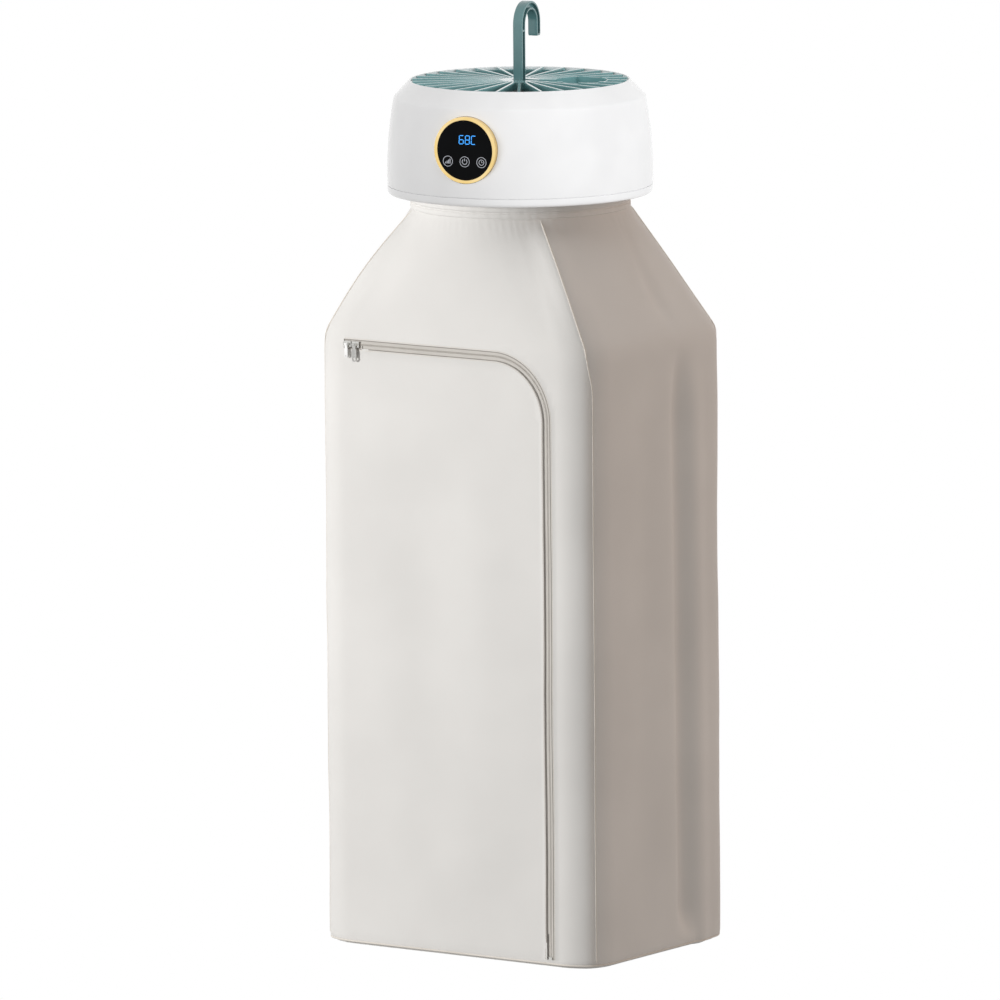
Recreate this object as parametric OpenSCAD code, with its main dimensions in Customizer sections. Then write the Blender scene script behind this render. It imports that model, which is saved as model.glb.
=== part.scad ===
/* [Hook] */
// Inner radius of the crook, where the rail sits
hook_seat_r = 19.5; // [16:0.5:22]
// Width of the hook across the stem
hook_w = 14; // [12:0.5:17]
// Thickness of the hook in the plane of its crook
hook_t = 12; // [10:0.5:14]
// Height of the crook above the intake grille
hook_rise = 107; // [98:1:114]
// Length of the straight tip below the seat centre
hook_tip = 19.5; // [12:0.5:24]
// Thickness of the two flanges of the hook's channel section
hook_flange = 2.8; // [2.2:0.1:3.5]
// Thickness of the web between the flanges
hook_web = 4; // [3:0.5:6]
// Radius of the steel pin that the hook folds about
pin_r = 3; // [2.5:0.1:3.5]
// Turn of the head, its display and its hook on the bag, in degrees
head_turn = 10.5; // [0:0.5:20]

/* [Head] */
// Radius of the round opening that holds the intake grille
rim_r = 152; // [148:1:156]
// Width of the flat rim round the grille
rim_w = 2; // [1.5:0.5:3]
// Depth of the edge where the sloping shoulder meets the side wall
shoulder_drop = 23; // [18:1:28]
// Room between the fan's duct and the side wall at its widest
wall_room = 70.5; // [68:0.5:75]
// Depth of the largest radius
belly_d = 127; // [115:1:135]
// Radius of the side wall's slow curve from top to bottom
wall_curve_r = 557; // [500:1:700]
// Depth of the line where the two housing shells part
split_d = 146; // [140:1:150]
// Depth of the head's underside
head_d = 158; // [155:1:162]
// Radius of the lower edge of the head
base_round = 11; // [8:0.5:12]
// Wall thickness of the housing
shell_t = 3; // [2:0.5:4]

/* [Grille] */
// Depth of the grille's ribs
grille_t = 12; // [9:0.5:13]
// Width of the grille's outer ring
ring_w = 10; // [8:0.5:12]
// Radius of the grille's hub
hub_r = 32; // [28:0.5:36]
// Number of radial ribs
rib_count = 30; // [20:1:36]
// Width of a rib
rib_w = 4.2; // [3.4:0.1:5]
// Room left for a finger past the stowed hook
finger_r = 22; // [18:1:24]

/* [Display] */
// Outer radius of the display's ring
bezel_r = 46.5; // [42:0.5:50]
// Width of the ring's face
bezel_w = 5; // [4:0.5:6]
// Depth of the display's centre below the grille's top
display_d = 79; // [74:1:84]
// Distance that the ring stands out from the wall
display_proud = 3; // [2:0.5:5]

/* [Air path] */
// Inner radius of the fan shroud
shroud_r = 115; // [105:1:120]
// Depth of the shroud's top flange
shroud_d = 50; // [48:1:54]
// Radius of the fan's blade tips
fan_r = 112.5; // [100:0.5:113]
// Number of fan blades
blade_count = 9; // [5:1:11]
// Radius of the motor's can
motor_r = 32; // [26:1:36]
// Length of the motor's can
motor_l = 46; // [40:1:48]
// Radius of the motor's shaft
shaft_r = 3; // [2.5:0.1:4]
// Number of ceramic heater bars
bar_count = 5; // [3:1:6]

/* [Neck] */
// Outer radius of the neck that the bag is fitted on
neck_r = 146; // [143:0.5:148]
// Length of the neck below the head
neck_l = 25; // [22:1:30]
// Thickness of the elastic collar of the bag
collar_t = 6.7; // [4:0.1:8]

/* [Bag] */
// Width of the bag, side to side
bag_w = 472; // [450:1:500]
// Depth of the bag, front to back
bag_d = 352; // [340:1:380]
// Radius of the bag's upright corners
corner_r = 55; // [50:1:60]
// Depth of the shoulder line below the grille's top
bag_shoulder_d = 352; // [345:1:370]
// Depth of the bag's bottom below the grille's top
bag_bottom_d = 1213; // [1100:1:1250]
// Thickness of the coated fabric, lining included
cloth_t = 1.2; // [1:0.1:1.5]
// Thickness of the stiffened base panel
base_panel_t = 2; // [2:0.5:4]
// Radius of the wires that hold the bag's outline
wire_r = 2; // [1.5:0.1:2.5]

/* [Door and zip] */
// Distance from the shoulder line down to the zip's top run
zip_top_gap = 12; // [10:1:16]
// Distance from the upright corner in to the zip's upright run
zip_side_gap = 17; // [13:1:21]
// Radius of the zip's corner
zip_bend_r = 88; // [75:1:95]
// Distance from the bag's bottom up to the zip's end
zip_end_gap = 9; // [7:1:14]
// Distance from the left upright corner in to the zip's left end
zip_start_gap = 1; // [0.5:0.5:3]
// Length of the top run that is sewn shut beside the door
zip_sewn = 34; // [30:1:40]
// Half of the gap between the two cloth edges along the zip
zip_gap = 5.5; // [4.5:0.1:6.5]
// Width of each zip tape
tape_w = 9; // [7:0.5:10]
// Half the width of the closed zip coil
coil_half = 1.2; // [1:0.1:1.6]
// Length of a slider
slider_l = 12; // [10:0.5:13]
// Length of a pull
pull_l = 24; // [18:1:30]

/* [Frame in the bag] */
// Radius of an arm's tube
arm_r = 5; // [4:0.5:6]
// Distance of the arm pivots from the head's axis
arm_pivot_r = 131; // [129:1:132]
// Height of the arm pivots above the lower end of the neck
arm_pivot_rise = 5; // [1:0.5:7]
// Radius of an arm's rubber shoe
shoe_r = 8; // [6:0.5:9]
// Radius of the garment rod
rod_r = 6; // [5:0.5:8]
// Room between each end of the garment rod and the bag's widest line
rod_end_gap = 46; // [41:1:60]
// Depth of the garment rod below the grille's top
rod_d = 303; // [290:1:315]
// Number of hanger places along the rod
hanger_places = 5; // [3:1:6]

/* [Hidden] */
$fn = 96;

// Clearances
run_fit = 0.05;
loose_fit = 0.3;
seat_fit = 0.1;
cloth_gap = 0.3;
over = 1;

// The hook's seat is the origin. The axis of head and bag passes beside it.
seat_offset = hook_seat_r + hook_t / 2;
grille_z = -(hook_rise - hook_seat_r - hook_t);
axis_x = seat_offset * sin(head_turn);
axis_y = -seat_offset * cos(head_turn);
hook_pivot_d = hook_w / 2 + 1;
hook_eye_r = hook_w / 2;
crook_reach = hook_pivot_d - grille_z;

// Head
belly_r = shroud_r + wall_room;
arm_pivot_d = head_d + neck_l - arm_pivot_rise;
rim_open_r = rim_r;
grille_r = rim_open_r - loose_fit;
ledge_t = 3;
ledge_w = 12;
ledge_r = rim_open_r - ledge_w;
ring_in_r = grille_r - ring_w;
wall_steps = 16;
function wall_r(d) =
    belly_r - wall_curve_r + sqrt(pow(wall_curve_r, 2) - pow(d - belly_d, 2));
shoulder_r = wall_r(shoulder_drop);
inner_turn_d = shoulder_drop + shell_t;
boss_count = 6;
boss_r = 5;
boss_at_r = base_screw_at_r();
function base_screw_at_r() = wall_r(head_d) - base_round - boss_r;
boss_web = 2.5;
lip_t = 1.5;
lip_h = 4;
screw_r = 1.6;
screw_head_r = 3.2;
screw_head_h = 2;
base_screw_l = 28;
neck_screw_l = 8;
motor_screw_l = 9;

ring_drop = 3;
hub_drop = 0.4;
rib_lift = 1;
rib_end_gap = 1.5;

// Cross rib of the hook, below the start of the crook
hook_rib_drop = 9;

// Pocket for the stowed hook
pocket_drop = 0.8;
pocket_side = hook_t / 2 + 0.8;
pocket_wall = 2;
pocket_floor_d = hook_pivot_d + hook_eye_r + 0.6;
pocket_gap = 4;
finger_x = crook_reach + 1;

// Anchor strap
cheek_t = 4;
cheek_in = pocket_side + pocket_wall + seat_fit;
cheek_w = 22;
strap_w = 30;
strap_t = 3;
strap_d = pocket_floor_d + pocket_wall + 0.5;
strap_leg = ledge_r - 18;
pin_l = 2 * (cheek_in + cheek_t);

// Guard and filter
guard_r = ledge_r - 3;
guard_t = 4;
guard_top_d = grille_t + ledge_t + 0.5;
slat_count = 60;
slat_w = 2.4;
guard_ring_h = 3;
filter_t = 3;
filter_d = 38;
filter_ledge = 5;

// Air path
shroud_t = 3;
flange_t = 3;
flange_r = wall_r(shroud_d) - shell_t - loose_fit;
bracket_t = 3;
bracket_d = shroud_d - bracket_t;
spoke_w = 12;
fan_top_d = shroud_d + motor_l + 4;
fan_h = 24;
fan_hub_r = 27;
fan_hub_t = 3;
blade_t = 2.2;
blade_pitch = 34;
shaft_end_d = fan_top_d + fan_h - 3;
shroud_end_d = head_d - shell_t;
heater_top_d = fan_top_d + fan_h + 6;
heater_h = shroud_end_d - heater_top_d - 1;
heater_ring_t = 4;
heater_ring_r = shroud_r - seat_fit;
rail_y = 52;
rail_t = 4;
bar_w = 9;
bar_inset = 2;
fin_inset = 3;
heater_span = 130;
bar_pitch = heater_span / (bar_count - 1);
fin_count = 9;
fin_t = 0.8;
outlet_open_r = shroud_r - 3;

// Display
display_face = wall_r(display_d) + display_proud;
glass_t = 3;
glass_step = 0.6;
glass_r = bezel_r - bezel_w;
bezel_len = 17;
cup_wall = 3;
cup_open_r = bezel_r + loose_fit;
board_t = 1.6;
display_back = display_face - bezel_len;
seat_in_r = bezel_r - 10;

// Control board and inlet
control_w = 84;
control_h = 64;
relay_h = 14;
control_y = shroud_r + shroud_t + loose_fit + relay_h + 16;
control_gap = 8;
post_r = 2.5;
relay_w = 22;
post_at = [control_w / 2 - 2, control_h / 2 - 12];
inlet_w = 28;
inlet_h = 20;
inlet_l = 24;
inlet_d = 112;
inlet_face = wall_r(inlet_d) + 0.5;
inlet_wall = 2.5;
inlet_flange = 3;
loom_r = 3;
cutout_r = 8;
loom_at_r = shroud_r + shroud_t + loom_r + seat_fit;
loom_d = 118;

// Neck
neck_t = 3;
neck_flange_in = 122;
neck_screw_r = 126.5;
bead_h = 3;
bead_r = 3;
collar_r = neck_r + cloth_gap + collar_t;
collar_top_d = head_d + cloth_gap;
collar_end_d = head_d + neck_l - bead_h - cloth_gap - 2;

// Bag
wall_top_d = bag_shoulder_d;
flat_x = bag_w / 2 - corner_r;
flat_y = bag_d / 2 - corner_r;
zip_x = flat_x - zip_side_gap;
zip_start_x = flat_x - zip_start_gap;
rod_l = bag_w - 2 * rod_end_gap;
front_y = -bag_d / 2;
panel_end_d = bag_bottom_d - base_panel_t;
tape_t = 0.8;
frame_inset = cloth_t + tape_t + cloth_gap + wire_r;
shoulder_wire_d = bag_shoulder_d + wire_r + 2;
base_wire_d = panel_end_d - wire_r - cloth_gap;

// Door: the flap folds about the line from fold_a to fold_b
zip_d = bag_shoulder_d + zip_top_gap;
zip_end_d = bag_bottom_d - zip_end_gap;
fold_a = [-zip_start_x + zip_sewn, -zip_d];
fold_b = [zip_x, -zip_end_d];
fold_angle = atan2(fold_b[1] - fold_a[1], fold_b[0] - fold_a[0]);
far = 2000;
coil_t = 2;
stop_t = 2;
stop_w = 5.5;
slider_h = 8.5;
slider_t = 1.8;
slider_gap = 0.3;
slider_front = front_y - slider_t - slider_gap;
ear_t = 1.2;
ear_x = 3.4;
ear_out = 3.4;
bar_r = 0.7;
eye_r = 1.9;
eye_w = 4.6;
pull_t = 1.6;
pull_w = 7.5;
parked_x = -zip_start_x + 8;
slider_x = parked_x + slider_l + 1.5;

// Arms, pointing at the middles of the bag's upright corners
corner_mid = [flat_x + corner_r * cos(45), flat_y + corner_r * sin(45)];
arm_azimuth = atan2(corner_mid[1], corner_mid[0]);
arm_tip_r = norm(corner_mid) - frame_inset - wire_r - shoe_r - 1.2;
arm_tip_d = shoulder_wire_d - 6;
arm_l = norm([arm_tip_r - arm_pivot_r, arm_tip_d - arm_pivot_d]);
arm_tilt = atan2(arm_tip_r - arm_pivot_r, arm_tip_d - arm_pivot_d);
arm_eye_r = 7;
arm_eye_w = 9;
arm_pin_r = 2.5;
fork_gap = 0.3;
fork_t = 3;
rod_bracket_x = 96;
rod_bracket_w = 16;
rod_bracket_t = 3;
rod_cap_l = 14;
collar_pair = 8;
collar_w = 3;
hanger_pitch = 70;

function arc_points(c, r, a0, a1, n) =
    [for (i = [0 : n]) let (a = a0 + (a1 - a0) * i / n) [c[0] + r * cos(a), c[1] + r * sin(a)]];

module on_axis() {
    translate([axis_x, axis_y, grille_z]) children();
}

module on_head() {
    on_axis() rotate([0, 0, head_turn]) children();
}

module ring(r_out, r_in, top_d, h) {
    translate([0, 0, -top_d - h]) difference() {
        cylinder(r = r_out, h = h);
        translate([0, 0, -over]) cylinder(r = r_in, h = h + 2 * over);
    }
}

module round_bolts(count, at_r, first = 0) {
    for (i = [0 : count - 1]) rotate([0, 0, first + i * 360 / count]) translate([at_r, 0, 0]) children();
}

// A screw seen from its head, which points down
module screw(l) {
    translate([0, 0, -screw_head_h]) cylinder(r = screw_head_r, h = screw_head_h, $fn = 32);
    cylinder(r = screw_r, h = l, $fn = 32);
}

// ---- Housing ----

module upper_profile() {
    outer = [for (i = [0 : wall_steps])
        let (d = shoulder_drop + (split_d - shoulder_drop) * i / wall_steps) [wall_r(d), -d]];
    inner = [for (i = [wall_steps : -1 : 0])
        let (d = inner_turn_d + (split_d - inner_turn_d) * i / wall_steps) [wall_r(d) - shell_t, -d]];
    polygon(concat(
        [[rim_open_r, 0], [rim_open_r + rim_w, 0], [shoulder_r, -shoulder_drop]],
        outer, inner,
        [[rim_open_r + rim_w + shell_t, -grille_t - ledge_t], [ledge_r, -grille_t - ledge_t],
         [ledge_r, -grille_t], [rim_open_r, -grille_t]]));
}

// The head's inside, up to the middle of its wall
module wall_core(inset) {
    polygon(concat(
        [[0, -shoulder_drop]],
        [for (i = [0 : wall_steps]) let (d = shoulder_drop + (split_d - shoulder_drop) * i / wall_steps)
            [wall_r(d) - inset, -d]],
        [[0, -split_d]]));
}

module display_axis() {
    translate([0, 0, -display_d]) rotate([90, 0, 0]) children();
}

module inlet_block(grow, y0, y1) {
    translate([-inlet_w / 2 - grow, y0, -inlet_d - inlet_h / 2 - grow])
        cube([inlet_w + 2 * grow, y1 - y0, inlet_h + 2 * grow]);
}

// The web that ties a screw boss to the curved wall
module boss_web_profile() {
    top_d = shroud_d + flange_t + 1;
    low_d = split_d - lip_h - 1;
    polygon(concat(
        [[boss_at_r, -top_d]],
        [for (i = [0 : wall_steps]) let (d = top_d + (low_d - top_d) * i / wall_steps)
            [wall_r(d) - shell_t / 2, -d]],
        [[boss_at_r, -low_d]]));
}

module upper_housing() {
    color("white") on_head() difference() {
        union() {
            rotate_extrude() upper_profile();
            intersection() {
                display_axis() translate([0, 0, display_back - board_t - cup_wall])
                    cylinder(r = cup_open_r + cup_wall, h = 2 * bezel_len);
                rotate_extrude() wall_core(shell_t / 2);
            }
            round_bolts(boss_count, boss_at_r)
                translate([0, 0, -split_d]) cylinder(r = boss_r, h = split_d - shroud_d - flange_t, $fn = 32);
            round_bolts(boss_count, 0) rotate([90, 0, 0])
                linear_extrude(boss_web, center = true) boss_web_profile();
        }
        display_axis() translate([0, 0, display_back - board_t]) cylinder(r = cup_open_r, h = 4 * bezel_len);
        display_axis() translate([0, 0, display_back - board_t - cup_wall - over])
            cylinder(r = seat_in_r, h = cup_wall + 2 * over);
        round_bolts(boss_count, boss_at_r)
            translate([0, 0, -split_d - over]) cylinder(r = screw_r, h = 22, $fn = 32);
        inlet_block(seat_fit, loom_at_r + 20, belly_r + 10);
    }
}

module base_profile() {
    r0 = wall_r(split_d);
    rb = wall_r(head_d - base_round);
    polygon(concat(
        [[r0, -split_d]],
        arc_points([rb - base_round, -head_d + base_round], base_round, 0, -90, 10),
        [[shroud_r - 3, -head_d], [shroud_r - 3, -head_d + shell_t]],
        arc_points([rb - base_round, -head_d + base_round], base_round - shell_t, -90, 0, 8),
        [[r0 - shell_t, -split_d]]));
}

module base_shell() {
    color("white") on_head() difference() {
        union() {
            rotate_extrude() base_profile();
            ring(wall_r(split_d) - shell_t + 0.01, wall_r(split_d) - shell_t - loose_fit - lip_t, split_d, 3);
            ring(wall_r(split_d) - shell_t - loose_fit, wall_r(split_d) - shell_t - loose_fit - lip_t,
                split_d - lip_h, lip_h + 3);
            round_bolts(boss_count, boss_at_r)
                translate([0, 0, -head_d + over]) cylinder(r = boss_r, h = head_d - over - split_d, $fn = 32);
        }
        round_bolts(boss_count, boss_at_r) translate([0, 0, -head_d - over]) {
            cylinder(r = screw_r + seat_fit, h = head_d, $fn = 32);
            cylinder(r = screw_head_r + seat_fit, h = screw_head_h + over + seat_fit, $fn = 32);
        }
        round_bolts(boss_count, neck_screw_r)
            translate([0, 0, -head_d - over]) cylinder(r = screw_r, h = 12, $fn = 32);
    }
}

module base_screws() {
    color("dimgray") on_head() round_bolts(boss_count, boss_at_r)
        translate([0, 0, -head_d + screw_head_h]) screw(base_screw_l);
}

// ---- Intake ----

module pocket_plan(grow) {
    reach = crook_reach;
    translate([-hook_eye_r - 2 - grow, -pocket_side - grow])
        square([hook_eye_r + 2 + reach + grow, 2 * (pocket_side + grow)]);
    translate([reach, seat_offset]) circle(r = hook_seat_r + hook_t + pocket_gap + grow);
    translate([reach - hook_tip - pocket_gap - grow, seat_offset + hook_seat_r - pocket_gap - grow])
        square([hook_tip + pocket_gap + grow, hook_t + 2 * pocket_gap + 2 * grow]);
    translate([reach - pocket_gap, -pocket_side - grow])
        square([finger_x - reach + pocket_gap, 2 * (pocket_side + grow)]);
    translate([finger_x, 8]) circle(r = finger_r + grow);
}

module intake_grille() {
    color("cadetblue") on_head() difference() {
        union() {
            ring(grille_r, ring_in_r, ring_drop, grille_t - ring_drop);
            translate([0, 0, -grille_t]) cylinder(r = hub_r, h = grille_t - hub_drop);
            for (i = [0 : rib_count - 1]) rotate([0, 0, (i + 0.5) * 360 / rib_count])
                translate([hub_r - 2, -rib_w / 2, -grille_t + rib_lift])
                    cube([grille_r - rib_end_gap - hub_r + 2, rib_w, grille_t - rib_lift]);
            translate([0, 0, -pocket_floor_d - pocket_wall])
                linear_extrude(pocket_floor_d + pocket_wall - pocket_drop) pocket_plan(pocket_wall);
        }
        translate([0, 0, -pocket_floor_d]) linear_extrude(pocket_floor_d + over) pocket_plan(0);
        for (s = [-1, 1]) translate([-cheek_w / 2 - seat_fit, s * (cheek_in + cheek_t / 2) - cheek_t / 2 - seat_fit,
            -grille_t - over]) cube([cheek_w + 2 * seat_fit, cheek_t + 2 * seat_fit, grille_t - 2 + over]);
        translate([0, 0, -hook_pivot_d]) rotate([90, 0, 0])
            cylinder(r = pin_r + seat_fit, h = pin_l + 2, center = true, $fn = 48);
    }
}

module intake_guard() {
    color("dimgray") on_head() difference() {
        union() {
            ring(guard_r, guard_r - guard_t, guard_top_d, guard_ring_h);
            ring(guard_r, guard_r - guard_t, shroud_d - guard_ring_h, guard_ring_h);
            ring(guard_r - guard_t + 0.5, guard_r - guard_t - filter_ledge, filter_d + filter_t, 2);
            for (i = [0 : slat_count - 1]) rotate([0, 0, (i + 0.5) * 360 / slat_count])
                translate([guard_r - guard_t, -slat_w / 2, -shroud_d + guard_ring_h / 2])
                    cube([guard_t - 0.5, slat_w, shroud_d - guard_top_d - guard_ring_h]);
        }
        for (s = [0, 180]) rotate([0, 0, s]) translate([-strap_w / 2 - 2, strap_leg - 2, -strap_d - strap_t - 2])
            cube([strap_w + 4, strap_leg, strap_d + strap_t]);
    }
}

module dust_filter() {
    color("gray") on_head() translate([0, 0, -filter_d - filter_t])
        cylinder(r = guard_r - guard_t - loose_fit, h = filter_t);
}

module hook_anchor() {
    strap_z = -strap_d - strap_t;
    color("silver") on_head() difference() {
        union() {
            translate([-strap_w / 2, -strap_leg, strap_z]) cube([strap_w, 2 * strap_leg, strap_t]);
            for (s = [0, 180]) rotate([0, 0, s]) {
                translate([-strap_w / 2, strap_leg - strap_t, strap_z])
                    cube([strap_w, strap_t, strap_d - grille_t - ledge_t + strap_t]);
                translate([-strap_w / 2, strap_leg - strap_t, -grille_t - ledge_t - strap_t])
                    cube([strap_w, ledge_r + 6 - strap_leg + strap_t, strap_t]);
                translate([-cheek_w / 2, cheek_in, strap_z])
                    cube([cheek_w, cheek_t, strap_d + strap_t - 2.5]);
            }
        }
        translate([0, 0, -hook_pivot_d]) rotate([90, 0, 0])
            cylinder(r = pin_r, h = 2 * pin_l, center = true, $fn = 48);
    }
}

module hook_pin() {
    color("silver") on_head() translate([0, 0, -hook_pivot_d]) rotate([90, 0, 0])
        cylinder(r = pin_r, h = pin_l, center = true, $fn = 48);
}

// ---- Hook ----

module hook_outline(inset) {
    stem_top = -grille_z;
    translate([-hook_t / 2 + inset, -hook_pivot_d]) square([hook_t - 2 * inset, stem_top + hook_pivot_d]);
    translate([seat_offset, stem_top]) intersection() {
        difference() {
            circle(r = hook_seat_r + hook_t - inset);
            circle(r = hook_seat_r + inset);
        }
        translate([-2 * hook_rise, 0]) square(4 * hook_rise);
    }
    translate([seat_offset + hook_seat_r + inset, stem_top - hook_tip + inset])
        square([hook_t - 2 * inset, hook_tip - inset]);
}

module hook_recess() {
    difference() {
        hook_outline(hook_flange);
        translate([-hook_t, -hook_pivot_d - over]) square([2 * hook_t, hook_pivot_d + hook_eye_r + over]);
        translate([-hook_t, -grille_z - hook_rib_drop]) square([2 * hook_t, hook_flange]);
    }
}

module hook() {
    color("cadetblue") on_head() difference() {
        union() {
            rotate([90, 0, 90]) translate([0, 0, -hook_w / 2]) linear_extrude(hook_w) hook_outline(0);
            translate([0, 0, -hook_pivot_d]) rotate([90, 0, 0])
                cylinder(r = hook_eye_r, h = hook_t, center = true);
        }
        for (s = [-1, 1]) rotate([90, 0, 90])
            translate([0, 0, s > 0 ? hook_web / 2 : -hook_w / 2 - over])
                linear_extrude((hook_w - hook_web) / 2 + over) hook_recess();
        translate([0, 0, -hook_pivot_d]) rotate([90, 0, 0])
            cylinder(r = pin_r + run_fit, h = 2 * hook_t, center = true, $fn = 48);
    }
}

// ---- Air path ----

module fan_shroud() {
    color("gainsboro") on_head() difference() {
        union() {
            ring(shroud_r + shroud_t, shroud_r, shroud_d, shroud_end_d - shroud_d);
            ring(flange_r, shroud_r, shroud_d, flange_t);
        }
        translate([-cup_open_r - cup_wall - loose_fit, -2 * flange_r - control_y + control_gap, -shroud_d - flange_t - over])
            cube([2 * (cup_open_r + cup_wall + loose_fit), 2 * flange_r, flange_t + 2 * over]);
    }
}

module motor_bracket() {
    color("silver") on_head() difference() {
        union() {
            ring(motor_r, 12, bracket_d, bracket_t);
            for (i = [0 : 3]) rotate([0, 0, 45 + 90 * i])
                translate([motor_r - 6, -spoke_w / 2, -shroud_d])
                    cube([shroud_r + 8 - motor_r + 6, spoke_w, bracket_t]);
        }
        round_bolts(4, 20) translate([0, 0, -shroud_d - over])
            cylinder(r = screw_r + seat_fit, h = bracket_t + 2 * over, $fn = 32);
    }
}

module motor_screws() {
    color("dimgray") on_head() round_bolts(4, 20)
        translate([0, 0, -bracket_d]) mirror([0, 0, 1]) screw(motor_screw_l);
}

module motor() {
    color("dimgray") on_head() difference() {
        translate([0, 0, -shroud_d - motor_l]) cylinder(r = motor_r, h = motor_l);
        translate([0, 0, -shroud_d - motor_l - over]) cylinder(r = shaft_r + run_fit, h = motor_l, $fn = 48);
        round_bolts(4, 20) translate([0, 0, -shroud_d - 7]) cylinder(r = screw_r, h = 7 + over, $fn = 32);
    }
}

module motor_shaft() {
    color("silver") on_head() translate([0, 0, -shaft_end_d])
        cylinder(r = shaft_r, h = shaft_end_d - shroud_d - 4, $fn = 48);
}

module impeller() {
    chord = fan_h / sin(90 - blade_pitch) * 0.9;
    color("lightgray") on_head() difference() {
        union() {
            ring(fan_hub_r, fan_hub_r - fan_hub_t, fan_top_d, fan_h);
            ring(fan_hub_r, shaft_r, fan_top_d, fan_hub_t);
            ring(9, shaft_r, fan_top_d, fan_h - 4);
            intersection() {
                for (i = [0 : blade_count - 1]) rotate([0, 0, i * 360 / blade_count])
                    translate([0, 0, -fan_top_d - fan_h / 2]) rotate([90 - blade_pitch, 0, 0])
                        translate([fan_hub_r - 1, -chord / 2, -blade_t / 2])
                            cube([fan_r + 5 - fan_hub_r, chord, blade_t]);
                ring(fan_r, fan_hub_r - 1.5, fan_top_d, fan_h);
            }
        }
        translate([0, 0, -fan_top_d - fan_h - over]) cylinder(r = shaft_r, h = fan_h + 2 * over, $fn = 48);
    }
}

module heater_frame() {
    rail_half = sqrt(pow(heater_ring_r - heater_ring_t / 2, 2) - pow(rail_y + rail_t, 2));
    color("khaki") on_head() union() {
        ring(heater_ring_r, heater_ring_r - heater_ring_t, heater_top_d, heater_h);
        for (s = [-1, 1]) translate([-rail_half, s * (rail_y + rail_t / 2) - rail_t / 2, -heater_top_d - heater_h])
            cube([2 * rail_half, rail_t, heater_h]);
    }
}

module heater_bars() {
    color("dimgray") on_head() for (i = [0 : bar_count - 1])
        translate([-heater_span / 2 + i * bar_pitch - bar_w / 2, -rail_y, -heater_top_d - heater_h + bar_inset])
            cube([bar_w, 2 * rail_y, heater_h - 2 * bar_inset]);
}

module heater_fins() {
    step = 2 * rail_y / (fin_count + 1);
    color("silver") on_head() for (i = [0 : bar_count - 2], k = [1 : fin_count])
        translate([-heater_span / 2 + i * bar_pitch + bar_w / 2, -rail_y + k * step, -heater_top_d - heater_h + fin_inset])
            cube([bar_pitch - bar_w, fin_t, heater_h - 2 * fin_inset]);
}

module thermostat() {
    color("silver") on_head() rotate([0, 0, 200])
        translate([shroud_r + shroud_t, 0, -loom_d + 3 * cutout_r + 2]) rotate([0, 90, 0]) {
            translate([-2 * cutout_r + 2, -cutout_r + 1, 0]) cube([4 * cutout_r - 4, 2 * cutout_r - 2, 1]);
            cylinder(r = cutout_r, h = cutout_r, $fn = 48);
        }
}

module outlet_grille() {
    color("white") on_head() {
        for (r = [20 : 18 : outlet_open_r]) ring(r, r - 2.5, head_d - shell_t, shell_t);
        ring(outlet_open_r - seat_fit, outlet_open_r - 4, head_d - shell_t, shell_t);
        for (i = [0 : 5]) rotate([0, 0, 60 * i]) translate([17, -1.5, -head_d])
            cube([outlet_open_r - 19, 3, shell_t]);
    }
}

// ---- Display and electrics ----

module display_bezel() {
    color("gold") on_head() display_axis() difference() {
        translate([0, 0, display_back]) cylinder(r = bezel_r, h = bezel_len);
        translate([0, 0, display_back - over]) cylinder(r = glass_r - 3, h = bezel_len + 2 * over);
        translate([0, 0, display_face - glass_t - glass_step])
            cylinder(r = glass_r + seat_fit, h = glass_t + glass_step + over);
    }
}

module display_glass() {
    color("black") on_head() display_axis() translate([0, 0, display_face - glass_t - glass_step])
        cylinder(r = glass_r, h = glass_t);
}

module display_board() {
    color("darkgreen") on_head() display_axis() translate([0, 0, display_back - board_t])
        cylinder(r = bezel_r - 0.5, h = board_t);
}

module control_board() {
    post_h = display_back - board_t - cup_wall - control_y;
    color("darkgreen") on_head() translate([0, 0, -display_d]) {
        translate([-control_w / 2, -control_y, -control_h / 2]) cube([control_w, board_t, control_h]);
        for (x = [-1, 1], z = [-1, 1]) translate([x * post_at[0], -control_y, z * post_at[1]])
            rotate([90, 0, 0]) cylinder(r = post_r, h = post_h, $fn = 32);
        translate([-relay_w - 2, -control_y + board_t, -relay_w / 2]) cube([relay_w, relay_h, relay_w - 4]);
        translate([relay_w / 2, -control_y + board_t, -relay_w]) cube([relay_w - 6, relay_h - 4, relay_w - 8]);
    }
}

module mains_inlet() {
    color("dimgray") on_head() difference() {
        union() {
            inlet_block(0, inlet_face - inlet_l, inlet_face - 0.4);
            intersection() {
                inlet_block(inlet_flange, inlet_face - 6, inlet_face + 1.6);
                ring(belly_r + inlet_flange, belly_r + seat_fit, inlet_d - inlet_h, 2 * inlet_h);
            }
        }
        inlet_block(-inlet_wall, inlet_face - inlet_l + inlet_wall, inlet_face + 10);
    }
}

module inlet_pins() {
    color("silver") on_head() for (p = [[-7, 0], [7, 0], [0, 4]])
        translate([p[0] - 2, inlet_face - inlet_l - 6, -inlet_d + p[1] - 1]) cube([4, inlet_l, 2]);
}

module mains_loom() {
    color("black") on_head() translate([0, 0, -loom_d]) rotate([0, 0, 104])
        rotate_extrude(angle = 134) translate([loom_at_r, 0]) circle(r = loom_r, $fn = 32);
}

// ---- Neck, arms and rod ----

module neck_collar() {
    color("white") on_head() difference() {
        union() {
            ring(neck_r, neck_r - neck_t, head_d, neck_l);
            ring(neck_r, neck_flange_in, head_d, neck_t);
            ring(neck_r + bead_r, neck_r - neck_t, head_d + neck_l - bead_h, bead_h);
        }
        round_bolts(boss_count, neck_screw_r)
            translate([0, 0, -head_d - neck_t - over]) cylinder(r = screw_r + seat_fit, h = neck_t + 2 * over, $fn = 32);
    }
}

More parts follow.
